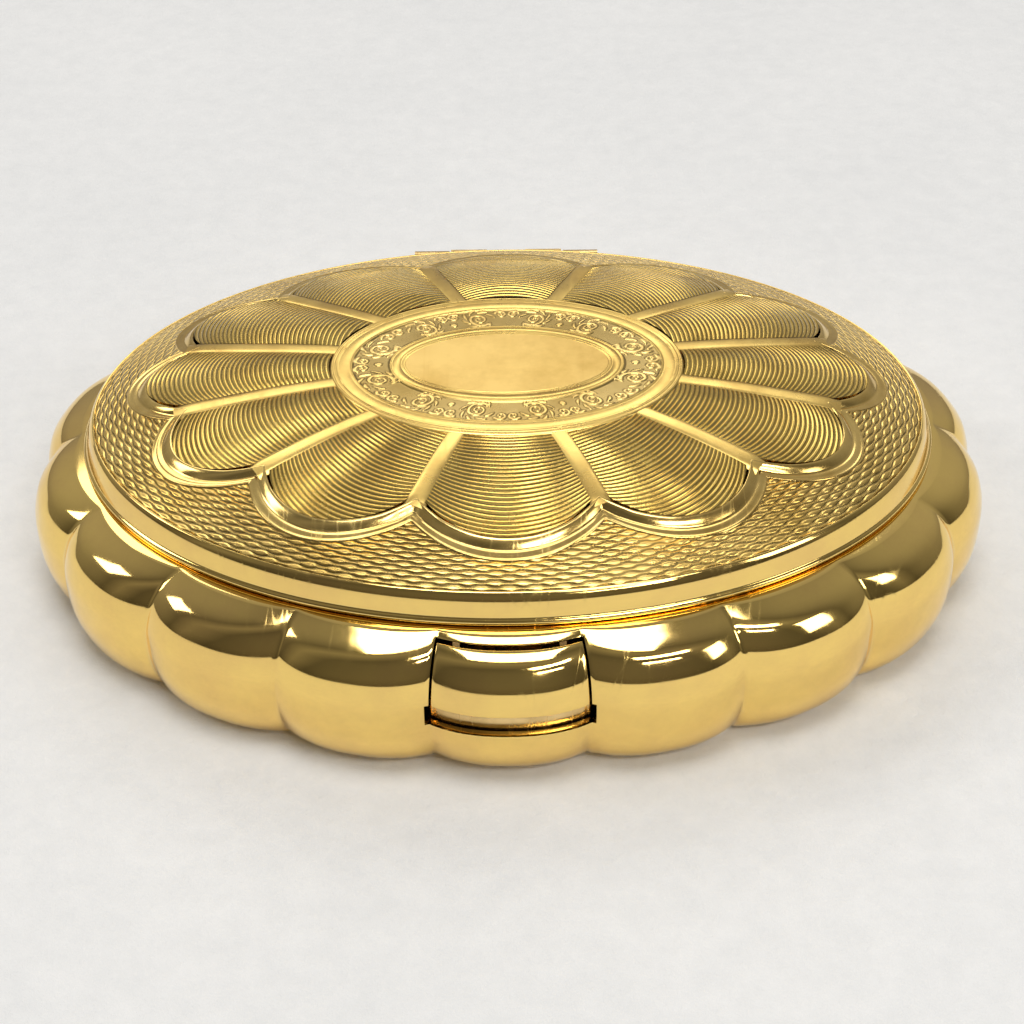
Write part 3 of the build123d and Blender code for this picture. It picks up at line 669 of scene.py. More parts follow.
def push_piece_skin():
    """The front flute from the slot to the shoulder, SIDE_GAP columns inside its hole."""
    columns = np.linspace(-HOLE_HALF + SIDE_GAP, HOLE_HALF - SIDE_GAP, 2 * HOLE_HALF + 1)
    heights = np.linspace(BUTTON_BOTTOM, BUTTON_TOP, 22)
    return patch(*fluted_skin(columns, heights))


button = make_piece("push_piece_face", [push_piece_skin()], "push_piece", polished)
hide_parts("catch_button")
give_wall(button, 0.5 * MM)
round_edges(button, 0.08 * MM, 3, 40)

# %% [markdown]
# ## The plate behind the finger slot
#
# A fingertip goes into the slot to lift the lid, and must not find the spring. So a curved brass
# plate closes the back of the slot. A bent box would do, but the flute's own formula, moved
# inwards by a little under a millimetre, fits it without measuring. The plate ends just under the
# push piece, which passes over it.

# %% Bend the slot's plate
def slot_plate():
    """The flute's surface moved inwards, least at mid height, with a fine groove near the top.

    inward is 0.80 + 0.18 * along^2 plus a bell of 0.10 at along 0.62, all in millimetres.
    """
    columns = np.linspace(-HOLE_HALF - 0.4, HOLE_HALF + 0.4, 60)
    heights = np.linspace(SLOT_BOTTOM - 1.0 * MM, BUTTON_BOTTOM - 0.08 * MM, 20)
    along = np.linspace(-1.0, 1.0, len(heights))
    inward = (0.80 + 0.18 * along**2 + 0.10 * np.exp(-(((along - 0.62) / 0.07) ** 2))) * MM
    return patch(*fluted_skin(columns, heights, inward[:, None]))


plate = make_piece("slot_plate", [slot_plate()], "base", brass_inside)
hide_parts("catch_shield")
give_wall(plate, 0.4 * MM)

# %% [markdown]
# ## The dome of the lid
#
# The lid is one low dome. It could be a subdivided mesh, but every pattern on it has to ask how
# high it is at some point, and a formula answers at once. Its contour lines are ovals, so its
# height is a function of the one oval that passes through a point. That oval's half length is
# found by halving an interval again and again, on whole arrays at once.

# %% Dome height
OVAL_LENGTHS = np.array([0.0, 14.9, 30.3, 36.5, 37.5]) * MM
OVAL_WIDTHS = np.array([0.0, 10.0, 19.4, 25.6, 26.6]) * MM
DOME_LENGTHS = np.array([0.0, 8.0, 14.9, 22.6, 30.3, 33.2, 35.6, 36.5]) * MM
DOME_HEIGHTS = np.array([4.42, 4.40, 4.30, 3.70, 2.28, 1.376, 0.473, 0.0]) * MM + RIM_TOP
SMALLEST_OVAL = 1e-5
HALVINGS = 30


def oval_width(half_length):
    """The half width of the dome's contour oval of a given half length."""
    return np.interp(half_length, OVAL_LENGTHS, OVAL_WIDTHS)


def oval_through(x, y):
    """The half length of the contour oval through each point, by halving an interval."""
    low, high = np.full(x.shape, SMALLEST_OVAL), np.full(x.shape, OVAL_LENGTHS[-1])
    for _ in range(HALVINGS):
        guess = (low + high) / 2
        beyond = (x / guess) ** 2 + (y / oval_width(guess)) ** 2 > 1.0
        low, high = np.where(beyond, guess, low), np.where(beyond, high, guess)
    return (low + high) / 2


def dome_height(x, y):
    """The plain dome's height over a point: a smooth curve of its contour oval's half length."""
    return smooth_curve(DOME_LENGTHS, DOME_HEIGHTS, np.clip(oval_through(x, y), 0.0, RIM_A))


print("dome from", round(RIM_TOP / MM, 2), "to", round(DOME_HEIGHTS[0] / MM, 2), "mm")

# %% [markdown]
# ## The rim and the field
#
# The edge of the lid is a small bead over the seam, a steep polished flank and a fine bright
# line. Inside it the lathe has cut barleycorn: wavy concentric lines whose waves swing opposite
# ways in neighbouring rows, so that they enclose little grains. The field ends at the scalloped
# outline of the twelve petals.
#
# The edge is a profile carried round the rim. The grains are under half a millimetre high, and
# as real faces there would be a million of them, so they are bump and painted shade in the
# material, placed by a pattern map that counts grains along the rim and rows across it.

# %% Rim, flank and field
PETALS = 12
CUSP_A, CUSP_B, BULGE = 30.0 * MM, 19.6 * MM, 3.2 * MM
LINE_INSET = 0.42 * MM
LID_WALL = 0.8 * MM
HINGE_HALF = 13.5 * MM
GRAIN_LENGTH = 2.2 * MM
GRAIN_ROW = 0.40 * MM


def petal_place(turn):
    """How far a point is across its petal: 0 at the petal's middle, 1 and -1 at the cusps."""
    sector = (turn + math.pi / 2) / (2 * math.pi / PETALS)
    return 2.0 * (sector - np.round(sector))


def scallop(turn, inset=0.0):
    """The petals' outline at an oval angle: the cusps' oval plus a bulge of 1 - place^2."""
    swell = BULGE * (1.0 - petal_place(turn) ** 2) - inset
    return (CUSP_A + swell) * np.cos(turn), (CUSP_B + swell) * np.sin(turn)


def rim_patch():
    """The lid's edge: a profile of (oval offset, flare, height) carried round the rim.

    x is (RIM_A + offset + flare) cos t and y is (RIM_B + offset + flare) sin t. The flare is
    the slope's reach, and at the back it is drawn in to nothing beside the hinge.
    """
    profile = [
        (-0.80, 0.00, 1.60), (-0.80, 0.00, -0.43), (-0.70, 0.00, -0.55), (0.16, 0.36, -0.55),
        (0.32, 0.36, -0.49), (0.40, 0.36, -0.35), (0.40, 0.36, -0.17), (0.32, 0.36, -0.04),
        (0.20, 0.36, 0.02), (0.13, 0.36, 0.08), (0.12, 0.35, 0.18), (0.09, 0.30, 0.50),
        (0.05, 0.21, 0.95), (0.00, 0.12, 1.40), (-0.06, 0.05, 1.74), (-0.14, 0.00, 1.94),
        (-0.24, 0.00, 2.02), (-0.34, 0.00, 2.03), (-0.42, 0.00, 1.99),
    ]
    turn = RIM_TURN[:-1]
    offsets, flares, heights = np.array(profile).T[:, :, None] * MM
    heights = heights + LID_BOTTOM
    heights[-1] = dome_height(np.array([RIM_A - LINE_INSET]), np.zeros(1))[0]
    heights[-2] = heights[-1] + 0.05 * MM
    beside_hinge = (np.sin(turn) > 0) * np.exp(-((RIM_A * np.cos(turn) / HINGE_HALF) ** 8))
    reach = offsets + flares * (1.0 - beside_hinge)
    x = (RIM_A + reach) * np.cos(turn)
    y = (RIM_B + reach) * np.sin(turn)
    z = np.broadcast_to(heights, x.shape)
    return patch(x, y, z, closed=True)


def inner_skin_patch():
    """The inside of the lid: the dome lowered by the wall, with its rows nearly to a point."""
    turn = RIM_TURN[:-1:4]
    shares = np.linspace(1.0, 0.002, 30)[:, None]
    half = (RIM_A - LID_WALL) * shares
    x = half * np.cos(turn)
    y = oval_width(half) * np.sin(turn)
    z = dome_height(x, y) - LID_WALL
    z[0] = LID_BOTTOM + 1.6 * MM
    return patch(x, y, z, closed=True)


def field_patch():
    """Barleycorn: the grid runs from the bright line to the petals' outline; its u counts grains
    along the rim and its v counts rows in from the rim."""
    turn = RIM_TURN[:-1]
    start = np.stack([(RIM_A - LINE_INSET) * np.cos(turn), (RIM_B - LINE_INSET) * np.sin(turn)])
    stop = np.stack(scallop(turn))
    share = np.linspace(0.0, 1.0, 15)[:, None, None]
    x, y = np.moveaxis(start + (stop - start) * share, 1, 0)
    z = dome_height(x, y)
    grains = round(RIM_LENGTH / GRAIN_LENGTH)
    u = np.broadcast_to(np.arange(len(turn)) / len(turn) * grains, x.shape)
    v = (RIM_A - oval_through(x, y)) / GRAIN_ROW
    return patch(x, y, z, u, v, closed=True)


rim = make_piece("lid_rim", [rim_patch(), inner_skin_patch()], "lid", polished)


def engraved(name, height_of, depth, bright, dull, low, high, dark, wobble=0.06):
    """Cut metal: a height worked out from the pattern map, as bump and as painted shade darkening
    the cuts.

    wobble is how far the cuts stray from their line, as a share of a cut's width.
    """
    material = bpy.data.materials.new(name)
    tree = node_tree(material)
    chart = add_node(tree, "ShaderNodeUVMap", uv_map="pattern")
    split = tree.nodes.new("ShaderNodeSeparateXYZ")
    tree.links.new(chart.outputs[0], split.inputs[0])
    stray = maths(tree, "SUBTRACT", noise(tree, 900.0, 2.0), 0.5)
    across = maths(tree, "ADD", split.outputs[1], maths(tree, "MULTIPLY", stray, wobble))
    height = height_of(tree, split.outputs[0], across)
    patina = spread(tree, noise(tree, 160.0, 5.0, 0.65), 0.38, 0.68, 0.0, 1.0)
    plain = ramp(tree, patina, [(0.0, bright), (1.0, dull)])
    # Painted shade: low places of the height darken the colour, down to the factor dark in the
    # cuts.
    shade = spread(tree, height, 0.0, 0.45, dark, 1.0)
    finish = spread(tree, noise(tree, 420.0, 4.0, 0.6), 0.3, 0.7, low, high)
    hair = bump(tree, scratches(tree), 0.000003, 0.4)
    cuts = bump(tree, height, depth, 1.0, hair)
    metal(tree, colour_product(tree, plain, shade), finish, cuts)
    return material


def cut_wave(tree, phase):
    """Height (1 - cos(turn * phase)) / 2: one cut for each whole step of phase."""
    wave = maths(tree, "COSINE", maths(tree, "MULTIPLY", phase, 2 * math.pi))
    return maths(tree, "MULTIPLY", maths(tree, "SUBTRACT", 1.0, wave), 0.5)


def barleycorn(tree, u, v):
    """The cut wave of phase = v - 0.22 cos(pi v) cos(turn * u): rows that swing to and fro."""
    along = maths(tree, "COSINE", maths(tree, "MULTIPLY", u, 2 * math.pi))
    row = maths(tree, "COSINE", maths(tree, "MULTIPLY", v, math.pi))
    swing = maths(tree, "MULTIPLY", maths(tree, "MULTIPLY", along, row), 0.22)
    return cut_wave(tree, maths(tree, "SUBTRACT", v, swing))


field_gilt = engraved(
    "barleycorn gilt", barleycorn, 0.00010,
    (0.90, 0.63, 0.20), (0.70, 0.46, 0.12), 0.20, 0.32, dark=0.22,
)
make_piece("lid_barleycorn", [field_patch()], "lid", field_gilt)

# %% [markdown]
# ## The petals
#
# Each petal is a shallow cushion inside a raised bead. Its cuts are arcs, all of one radius, each
# a step further out than the last, so light runs over them as a bright fan. Between two petals a
# narrow flat bar is left plain.
#
# One petal could be made and copied, but on an oval lid no two neighbours are alike. So a petal
# is a grid worked out for its own place: one parameter goes from one bar to the next, the other
# from the scroll band's border out to the outline. The pattern map's v is the number of the arc
# through the point. The cushion and the bead are real shape, and the fine cuts are bump.

# %% Petals, beads and bars
CART_A, CART_B = 14.9 * MM, 10.0 * MM
BORDER = 0.9 * MM
BAR_HALF = 0.68 * MM
PETAL_DOME = 0.34 * MM
PETAL_LIP = 0.36 * MM
ARC_PITCH = 0.42 * MM
CUSHION_POWER = 2.2


def bar_turn(share, number):
    """The oval angle of a bar: halfway between two petals at the outline, and spread a little
    towards the sides near the middle of the lid."""
    at_edge = -math.pi / 2 + (number + 0.5) * 2 * math.pi / PETALS
    return at_edge + (1.0 - share) * math.radians(2.2) * math.sin(2 * (at_edge + math.pi / 2))


def petal_patch(number, across_count=49, out_count=56):
    """One petal's cushion, from bar to bar and from the scroll band out to the outline.

    Over the dome it stands PETAL_DOME * (1 - |across|^2.2) * (1 - 0.75 share^3), less close to
    the band, plus PETAL_LIP * share^3. v is (along + lag) / ARC_PITCH, where lag is
    radius - sqrt(radius^2 - aside^2): how far an arc falls back beside the middle line.
    """
    across = np.linspace(-1.0, 1.0, across_count)[None, :]
    share = np.linspace(0.0, 1.0, out_count)[:, None]
    low, high = bar_turn(share, number - 1), bar_turn(share, number)
    turn = low + (high - low) * (across + 1) / 2
    swell = BULGE * (1.0 - across**2)
    inner_a, inner_b = CART_A + 0.5 * MM, CART_B + 0.5 * MM
    outer_a, outer_b = CUSP_A + swell - 2 * BORDER, CUSP_B + swell - 2 * BORDER
    x = (inner_a + (outer_a - inner_a) * share) * np.cos(turn)
    y = (inner_b + (outer_b - inner_b) * share) * np.sin(turn)
    width = np.hypot(x[:, -1] - x[:, 0], y[:, -1] - y[:, 0])[:, None]
    gap = np.clip(1.0 - 2 * BAR_HALF / width, 0.2, 1.0)
    centre_x, centre_y = x[:, across_count // 2, None], y[:, across_count // 2, None]
    x, y = centre_x + (x - centre_x) * gap, centre_y + (y - centre_y) * gap
    axis = np.array([(centre_x[-1] - centre_x[0])[0], (centre_y[-1] - centre_y[0])[0]])
    axis /= np.hypot(*axis)
    along = (x - centre_x[0]) * axis[0] + (y - centre_y[0]) * axis[1]
    aside = -(x - centre_x[0]) * axis[1] + (y - centre_y[0]) * axis[0]
    radius = (5.2 + 4.2 * abs(axis[1])) * MM
    lag = radius - np.sqrt(np.maximum(radius**2 - aside**2, 0.0))
    cushion = PETAL_DOME * (1.0 - np.abs(across) ** CUSHION_POWER) * (1.0 - 0.75 * share**3)
    z = dome_height(x, y) + cushion * np.minimum(1.0, 0.3 + 4 * share) + PETAL_LIP * share**3
    return patch(x, y, z, aside / ARC_PITCH, (along + lag) / ARC_PITCH)


def bar_patch(number, out_count=30):
    """The plain strip between two petals, which dips under the cushions at its sides.

    Over the dome it stands 0.05 mm * (1 - |across / BAR_HALF|^4) + PETAL_LIP * share^3 - 0.02 mm.
    """
    share = np.linspace(-0.03, 1.09, out_count)[:, None]
    turn = bar_turn(share, number)
    a = CART_A + (CUSP_A - CART_A - 2 * BORDER) * share
    b = CART_B + (CUSP_B - CART_B - 2 * BORDER) * share
    centre_x, centre_y = a * np.cos(turn), b * np.sin(turn)
    run = np.array([centre_x[-1, 0] - centre_x[0, 0], centre_y[-1, 0] - centre_y[0, 0]])
    run /= np.hypot(*run)
    across = np.linspace(-1.35, 1.35, 11)[None, :] * BAR_HALF
    x, y = centre_x - across * run[1], centre_y + across * run[0]
    raise_middle = 0.05 * MM * (1.0 - np.abs(across / BAR_HALF) ** 4)
    z = dome_height(x, y) + raise_middle + PETAL_LIP * np.clip(share, 0.0, 1.0) ** 3 - 0.02 * MM
    return patch(x, y, z, flip=True)


def border_patch():
    """The petals' frame, which follows the scalloped outline all round.

    Rows are (inset from the outline, rise over the dome): a fine edge, a flat band, a fine
    groove, and a rounded bead that stands against the cushion.
    """
    turn = RIM_TURN[:-1]
    profile = [
        (-0.06, -0.10), (0.00, 0.00), (0.05, 0.08), (0.12, 0.10), (0.20, 0.05), (0.50, 0.06),
        (0.80, 0.05), (0.90, 0.00), (0.98, 0.00), (1.10, 0.09), (1.35, 0.25), (1.60, 0.37),
        (1.78, 0.41), (1.90, 0.36), (2.00, 0.10),
    ]
    insets, rises = np.array(profile).T * MM
    x, y = np.moveaxis(np.array([scallop(turn, inset) for inset in insets]), 1, 0)
    z = dome_height(x, y) + rises[:, None]
    return patch(x, y, z, closed=True)


def arcs(tree, u, v):
    """The cut wave of v alone: nested arcs."""
    return cut_wave(tree, v)


petal_gilt = engraved(
    "engine-turned gilt", arcs, 0.00009,
    (0.92, 0.64, 0.17), (0.74, 0.48, 0.11), 0.19, 0.30, dark=0.25,
)
petals = [petal_patch(number) for number in range(PETALS)]
bars = [bar_patch(number) for number in range(PETALS)]
make_piece("lid_petals", petals, "lid", petal_gilt)
make_piece("lid_petal_borders", [border_patch()], "lid", burnished)
make_piece("lid_petal_bars", bars, "lid", satin)

# %% [markdown]
# ## The scroll band and the plain oval
#
# Round the plain oval runs an engraved band of leafy scrolls. Each scroll is a spiral that
# tightens to a curl with leaves along its back. One cell of the band is enough: it is turned
# over and repeated, so that pairs of scrolls face each other, with a rosette between the pairs.
#
# Curves swept into tubes would make round wires, and engraving isn't round. So the relief is a
# height for each point of a fine grid, worked out from the distance between the point and the
# spiral's line: close to the line the metal stands up, away from it it is cut down.

# %% Scroll band
SCROLL_CELLS = 12
SCROLL_OUT = np.array([13.35, 8.40]) * MM
SCROLL_IN = np.array([10.15, 5.75]) * MM
SCROLL_RELIEF = 0.08 * MM
CELL_LENGTH, CELL_WIDTH = 5.7, 2.9
RIDGE_SLOPE = 0.11


def scroll_line(middle, size, start, turns, hand, count=90):
    """A spiral about a middle, and the share of the way along it of each of its points.

    Radius is size * (1 - 0.86 * share^0.8), and angle is start + hand * turns * 2 pi * share.
    """
    share = np.linspace(0.0, 1.0, count)
    radius = size * (1.0 - 0.86 * share**0.8)
    angle = start + hand * turns * 2 * math.pi * share
    x, y = middle[0] + radius * np.cos(angle), middle[1] + radius * np.sin(angle)
    return np.stack([x, y], axis=-1), share


def scroll_cell(columns, rows, width, height):
    """The relief of one cell, 0 in the ground and 1 on the ridges; lengths are millimetres.

    A ridge is 1 - (distance to its line - its thickness) / RIDGE_SLOPE, kept from 0 to 1.
    """
    px = np.linspace(0.0, width, columns)[None, :, None]
    py = np.linspace(0.0, height, rows)[:, None, None]
    relief = np.zeros((rows, columns))

    def ridge(points, thickness):
        """The height of a line of points whose half thickness may change along it."""
        distance = np.hypot(px - points[:, 0], py - points[:, 1]) - thickness
        return np.clip(1.0 - distance.min(axis=-1) / RIDGE_SLOPE, 0.0, 1.0)

    # middle, size, start, turns and hand of each spiral, then its thickness at both ends
    spirals = [
        ((width * 0.50, height * 0.46), height * 0.40, -2.3, 1.75, 1, 0.10, 0.03),
        ((width * 0.90, height * 0.74), height * 0.22, 2.4, 1.4, -1, 0.07, 0.02),
        ((width * 0.10, height * 0.72), height * 0.21, 0.6, 1.3, 1, 0.07, 0.02),
    ]
    for *spiral, thick, thin in spirals:
        line, share = scroll_line(*spiral)
        relief = np.maximum(relief, ridge(line, thick * (1 - share) + thin))
    reach = np.linspace(0.0, 1.0, 14)
    radius = height * 0.42 + 0.42 * reach
    for angle in np.linspace(-2.6, 2.4, 8):
        bend = angle + 0.55 * reach
        leaf_x = width * 0.50 + radius * np.cos(bend)
        leaf_y = height * 0.46 + radius * np.sin(bend)
        leaf = np.stack([leaf_x, leaf_y], axis=-1)
        relief = np.maximum(relief, ridge(leaf, 0.075 * np.sin(math.pi * reach) + 0.01))
    boss = np.stack([[width, height * 0.30]] * 2)
    return np.maximum(relief, ridge(boss, 0.24))


def scroll_patch(columns_per_cell=110, rows=58):
    """The band: a ring between two ovals, cut by the cell's relief turned over every time.

    Over the dome it stands SCROLL_RELIEF * (relief^0.7 - 1) * edge + 0.01 mm, where edge fades
    the cut out at both borders.
    """
    cell = scroll_cell(columns_per_cell, rows, CELL_LENGTH, CELL_WIDTH)
    whole = np.concatenate([cell, cell[:, ::-1]] * (SCROLL_CELLS // 2), axis=1)
    count = whole.shape[1]
    turn = even_angles(*(SCROLL_IN + SCROLL_OUT) / 2, count)[0][:-1]
    share = np.linspace(0.0, 1.0, rows)[:, None]
    edge = np.clip(np.minimum(share, 1 - share) / 0.05, 0.0, 1.0)
    half = SCROLL_IN[:, None, None] + (SCROLL_OUT - SCROLL_IN)[:, None, None] * share
    x, y = half[0] * np.cos(turn), half[1] * np.sin(turn)
    z = dome_height(x, y) + (whole**0.7 - 1.0) * SCROLL_RELIEF * edge + 0.01 * MM
    v = np.broadcast_to(share, x.shape)
    return patch(x[::-1], y[::-1], z[::-1], whole[::-1], v[::-1], closed=True)


def ring_patches():
    """The plain rings either side of the band, then the oval in the middle.

    Each ring is a list of (half length, half width, rise) rows; a groove is a dip between rows.
    The oval's rows shrink nearly to a point.
    """
    turn = even_angles(12.0, 7.5, 480)[0][:-1]
    outer = [
        (15.45, 10.55, -0.22), (15.30, 10.40, -0.02), (15.16, 10.26, 0.10), (15.04, 10.14, 0.10),
        (14.96, 10.06, -0.02), (14.84, 9.94, 0.09), (14.74, 9.84, 0.10), (14.64, 9.74, -0.01),
        (14.50, 9.58, 0.03), (13.70, 8.76, 0.03), (13.52, 8.58, -0.03), (13.45, 8.50, 0.06),
        (13.38, 8.43, 0.05), (13.35, 8.40, 0.0),
    ]
    inner = [
        (10.15, 5.75, 0.01), (10.10, 5.70, 0.05), (10.02, 5.62, 0.05), (9.94, 5.54, -0.04),
        (9.86, 5.46, 0.02), (9.20, 4.80, 0.03), (9.12, 4.72, -0.05), (9.03, 4.63, 0.05),
        (8.94, 4.54, 0.05), (8.84, 4.44, -0.05), (8.76, 4.36, 0.02),
    ]
    patches = []
    for rows in (outer, inner):
        a, b, rise = np.array(rows).T[:, :, None] * MM
        x, y = a * np.cos(turn), b * np.sin(turn)
        patches.append(patch(x, y, dome_height(x, y) + rise, closed=True))
    share = np.linspace(1.0, 0.001, 16)[:, None]
    edge_a, edge_b, rise = np.array(inner[-1]) * MM
    x, y = edge_a * share * np.cos(turn), edge_b * share * np.sin(turn)
    patches.append(patch(x, y, dome_height(x, y) + rise, closed=True))
    return patches


def relief_gilt():
    """Engraved relief: bright on the ridges and darker in the cut ground, by painted shade."""

    def ridges(tree, u, v):
        """Height is the relief stored in u."""
        return spread(tree, u, 0.0, 0.75, 0.0, 0.5)

    return engraved(
        "scroll gilt", ridges, 0.00001,
        (0.92, 0.66, 0.24), (0.74, 0.50, 0.15), 0.22, 0.34, dark=0.48,
    )


*plain_rings, plain_oval = ring_patches()
make_piece("lid_scroll_band", [scroll_patch()], "lid", relief_gilt())
make_piece("lid_plain_rings", plain_rings, "lid", satin)
make_piece("lid_plain_oval", [plain_oval], "lid", matt)
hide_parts("lid_cover")

# %% [markdown]
# ## Under the lid
#
# Opened, a compact shows a mirror in a gilt frame, an engine-turned inner lid that keeps the
# loose powder in its well, and a velour puff with a satin ribbon to lift it by. The hard pieces
# could be modelled again, but they keep their measured shapes and only get their finish here:
# the inner lid's sunburst is bump from Object coordinates, because its cuts are hair fine.

# %% Finishes for the inside
INNER_LID_A, INNER_LID_B = 28.7 * MM, 17.8 * MM


def radial_wave(tree, half_length, half_width, rings, rays, swing):
    """Height of nested ovals whose lines swing in and out with the angle: a sunburst.

    With r the share of the way out, it is (1 + cos(turn * (rings r + swing cos(rays angle)))) / 2.
    """
    place = split_place(tree)
    x = maths(tree, "DIVIDE", place[0], half_length)
    y = maths(tree, "DIVIDE", place[1], half_width)
    squares = maths(tree, "ADD", maths(tree, "MULTIPLY", x, x), maths(tree, "MULTIPLY", y, y))
    reach = maths(tree, "SQRT", squares)
    angle = maths(tree, "ARCTAN2", y, x)
    swung = maths(tree, "COSINE", maths(tree, "MULTIPLY", angle, rays))
    swung = maths(tree, "MULTIPLY", swung, swing)
    phase = maths(tree, "ADD", maths(tree, "MULTIPLY", reach, rings), swung)
    wave = maths(tree, "COSINE", maths(tree, "MULTIPLY", phase, 2 * math.pi))
    return maths(tree, "MULTIPLY", maths(tree, "ADD", wave, 1.0), 0.5)


def turned_plate():
    """The inner lid: gilt with a sunburst of fine oval lines."""

    def sunburst(tree, u, v):
        """Ignores the pattern map: the plate is flat, so its place is its pattern."""
        return radial_wave(tree, INNER_LID_A, INNER_LID_B, 44.0, 36.0, 0.35)

    return engraved(
        "sunburst gilt", sunburst, 0.00004,
        (0.94, 0.68, 0.26), (0.76, 0.52, 0.17), 0.18, 0.30, dark=0.7,
    )


def soft_finish(name, colours, scale, rough, depth, sheen=0.0, sheen_tint=(1, 1, 1), weave=None):
    """A dull material: mottled colour, fine bump, and a fixed sheen where it has a pile."""
    material = bpy.data.materials.new(name)
    tree = node_tree(material)
    grain = noise(tree, scale, 6.0, 0.7)
    broad = noise(tree, scale / 14.0, 3.0)
    mixed = maths(
        tree, "ADD", maths(tree, "MULTIPLY", grain, 0.6), maths(tree, "MULTIPLY", broad, 0.4)
    )
    mottle = ramp(tree, mixed, [(0.35, colours[0]), (0.65, colours[1])])
    shader = add_node(
        tree, "ShaderNodeBsdfPrincipled",
        Roughness=rough, Sheen_Weight=sheen, Sheen_Tint=(*sheen_tint, 1.0),
    )
    tree.links.new(mottle, shader.inputs["Base Color"])
    height = grain if weave is None else weave(tree)
    tree.links.new(bump(tree, height, depth), shader.inputs["Normal"])
    give_surface(tree, shader)
    return material


RIB_PITCH = 0.30 * MM
THREAD_PITCH = 0.22 * MM


def ribbon_ribs(tree):
    """Ribs every RIB_PITCH along a ribbon and finer threads across it: 0.4 sin y + 0.2 sin x."""
    place = split_place(tree)
    ribs = maths(tree, "SINE", maths(tree, "MULTIPLY", place[1], 2 * math.pi / RIB_PITCH))
    threads = maths(tree, "SINE", maths(tree, "MULTIPLY", place[0], 2 * math.pi / THREAD_PITCH))
    ribs = maths(tree, "MULTIPLY", ribs, 0.4)
    return maths(tree, "ADD", ribs, maths(tree, "MULTIPLY", threads, 0.2))


mirror_glass = gilt(
    "silvered mirror", (0.93, 0.94, 0.94), (0.86, 0.87, 0.87), 0.006, 0.02,
    hairlines=0.000001, wave=0.0000005,
)
card = soft_finish(
    "backing card", ((0.42, 0.33, 0.24), (0.52, 0.43, 0.32)), 900.0, 0.8, 0.00003
)
powder = soft_finish(
    "face powder", ((0.80, 0.58, 0.46), (0.88, 0.68, 0.56)), 1400.0, 0.95, 0.00008
)
velour = soft_finish(
    "puff velour", ((0.84, 0.66, 0.58), (0.93, 0.78, 0.70)), 2600.0, 0.9, 0.00012,
    sheen=0.8, sheen_tint=(1.0, 0.93, 0.90),
)
ribbon_satin = soft_finish(
    "ribbon satin", ((0.78, 0.52, 0.48), (0.86, 0.62, 0.57)), 700.0, 0.38, 0.00003,
    weave=ribbon_ribs,
)

FINISH_OF_SLOT = {
    "gilt_polished": polished, "gilt_satin": satin, "brass_inside": brass_inside,
    "spring_brass": spring_brass, "steel_pin": pin_steel, "mirror_silver": mirror_glass,
    "card": card, "powder": powder, "velour": velour, "ribbon": ribbon_satin,
}
OWN_FINISH = {"inner_lid": turned_plate()}
for entry in frame["record"]["subparts"]:
    name = entry["node"]
    node = frame["nodes"][name]
    node.data.materials.clear()
    node.data.materials.append(OWN_FINISH.get(name, FINISH_OF_SLOT[entry["material_slot"]]))
print("finished nodes:", len(frame["nodes"]))

# %% [markdown]
# ## Powder, puff and ribbon
#
# Loose powder lies a little unevenly. The puff is two rounds of velour sewn edge to edge over a
# thin pad, so it is fullest in the middle and has a soft seam round its edge. A ribbon is sewn
# across its back to hold it by. Cloth could be simulated, but pieces that lie pressed in a shallow
# well hardly fold, so two swelling sheets and a slow uneven wave are enough.

# %% Powder and puff
puff_low, puff_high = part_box("powder_puff")
powder_low, powder_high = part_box("loose_powder")
ribbon_low, ribbon_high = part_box("puff_ribbon")


def soft_wave(x, y, seed, size, terms=9):
    """A gentle uneven surface: terms sine waves in fixed odd directions, over sqrt(terms)."""
    chance = np.random.default_rng(seed)
    total = np.zeros(x.shape)
    for angle, phase, stretch in chance.uniform(0, 1, (terms, 3)):
        heading = 2 * math.pi * angle
        way = x * math.cos(heading) + y * math.sin(heading)
        total += np.sin(2 * math.pi * (way / (size * (0.6 + stretch)) + phase))
    return total / terms**0.5


def round_patches(low, high, top, columns=240, rows=46):
    """A closed round with an oval outline: an upper and a lower sheet, meeting at the edge.

    At a share r of the way out, each sheet stands sqrt(1 - r^4) of its height from the middle.
    The rows shrink nearly to a point.
    """
    turn = np.linspace(0, 2 * math.pi, columns, endpoint=False)
    share = np.sin(np.linspace(math.pi / 2, 0.002, rows))[:, None]
    x = high.x * share * np.cos(turn)
    y = high.y * share * np.sin(turn)
    middle = (high.z + low.z) / 2
    lift = np.sqrt(np.clip(1.0 - share**4.0, 0.0, 1.0))
    uneven = top(x, y)
    upper = middle + (high.z - middle) * lift * (1.0 + uneven) / (1.0 + np.abs(uneven).max())
    lower = np.broadcast_to(middle - (middle - low.z) * lift, x.shape)
    return [patch(x, y, upper, closed=True), patch(x[::-1], y[::-1], lower[::-1], closed=True)]


powder_bed = make_piece(
    "powder_bed",
    round_patches(powder_low, powder_high, lambda x, y: 0.22 * soft_wave(x, y, 4, 9 * MM), rows=60),
    "base", powder,
)
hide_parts("loose_powder")
puff = make_piece(
    "velour_puff",
    round_patches(puff_low, puff_high, lambda x, y: 0.05 * soft_wave(x, y, 8, 14 * MM)),
    "base", velour,
)
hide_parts("powder_puff")


COCKLE, COCKLE_LENGTH = 0.05 * MM, 6.5 * MM
RIBBON_THICKNESS = 0.12 * MM


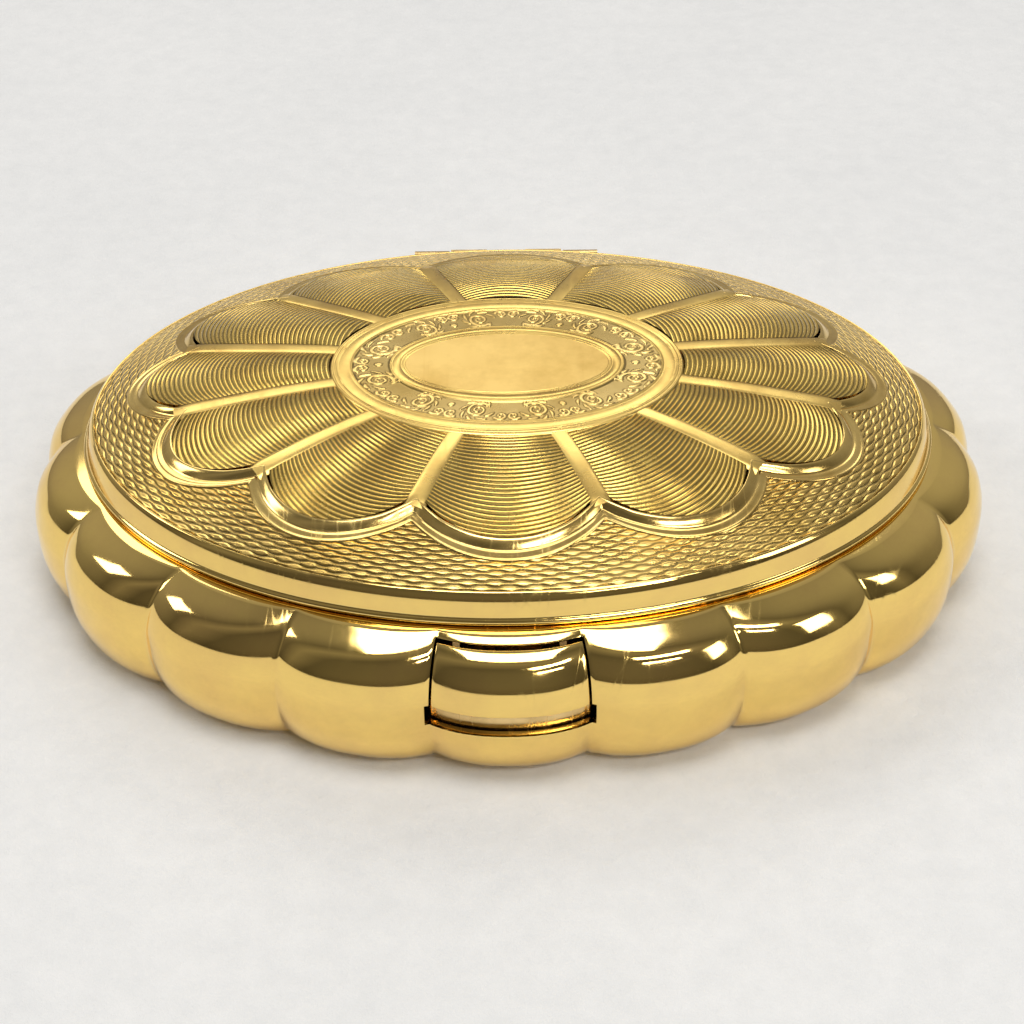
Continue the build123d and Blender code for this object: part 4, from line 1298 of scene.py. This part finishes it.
def ribbon_patch(rows=90, columns=28):
    """A strip across the puff: it follows the puff's crown, with slight cockles across it.

    With reach = (x / a)^2 + (y / b)^2, the crown stands sqrt(1 - reach^2) of the puff's half
    height over its middle, as the puff itself does.
    """
    x = np.linspace(ribbon_low.x, ribbon_high.x, columns)[None, :]
    y = np.linspace(ribbon_low.y, ribbon_high.y, rows)[:, None]
    x, y = np.broadcast_arrays(x, y)
    reach = (y / puff_high.y) ** 2 + (x / puff_high.x) ** 2
    crown = (puff_high.z + puff_low.z) / 2
    crown = crown + (puff_high.z - crown) * np.sqrt(np.clip(1.0 - reach**2, 0.0, 1.0))
    cockle = COCKLE * np.sin(2 * math.pi * y / COCKLE_LENGTH)
    cockle = cockle * np.cos(math.pi * x / ribbon_high.x)
    return patch(x, y, crown + RIBBON_THICKNESS + cockle)


ribbon = make_piece("lifting_ribbon", [ribbon_patch()], "base", ribbon_satin)
give_wall(ribbon, RIBBON_THICKNESS, "cloth", side=1.0)
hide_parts("puff_ribbon")

# %% [markdown]
# ## The table
#
# The compact stands on a matt, nearly white table. It is more than a backdrop: the lower half of
# every flute reflects it. One flat face would do for that, but it needs a surface of its own, so
# its material has a faint plaster-like unevenness.

# %% Lay the table
TABLE_GAP = 0.00002


def table_finish():
    """Matt off-white with a faint mottle and a fine uneven surface."""
    return soft_finish("table", ((0.78, 0.785, 0.79), (0.86, 0.86, 0.86)), 350.0, 0.8, 0.00025)


def table_patch(half=1.6, count=24):
    """A flat square grid, TABLE_GAP below the compact's underside."""
    line = np.linspace(-half, half, count)
    x, y = np.meshgrid(line, line)
    return patch(x, y, np.full_like(x, cad_bounds[0][2] - TABLE_GAP))


points, quads, _ = table_patch()
table_mesh = bpy.data.meshes.new("table")
table_mesh.from_pydata(points.tolist(), [], quads.tolist())
table = bpy.data.objects.new("table", table_mesh)
table_mesh.materials.append(table_finish())
bpy.context.scene.collection.objects.link(table)
table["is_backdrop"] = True

# %% Compare the sizes and finish
visual_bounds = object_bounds()
for label, corners in (("measured", cad_bounds), ("visual", visual_bounds)):
    print(label, [[round(v / MM, 2) for v in corner] for corner in corners])
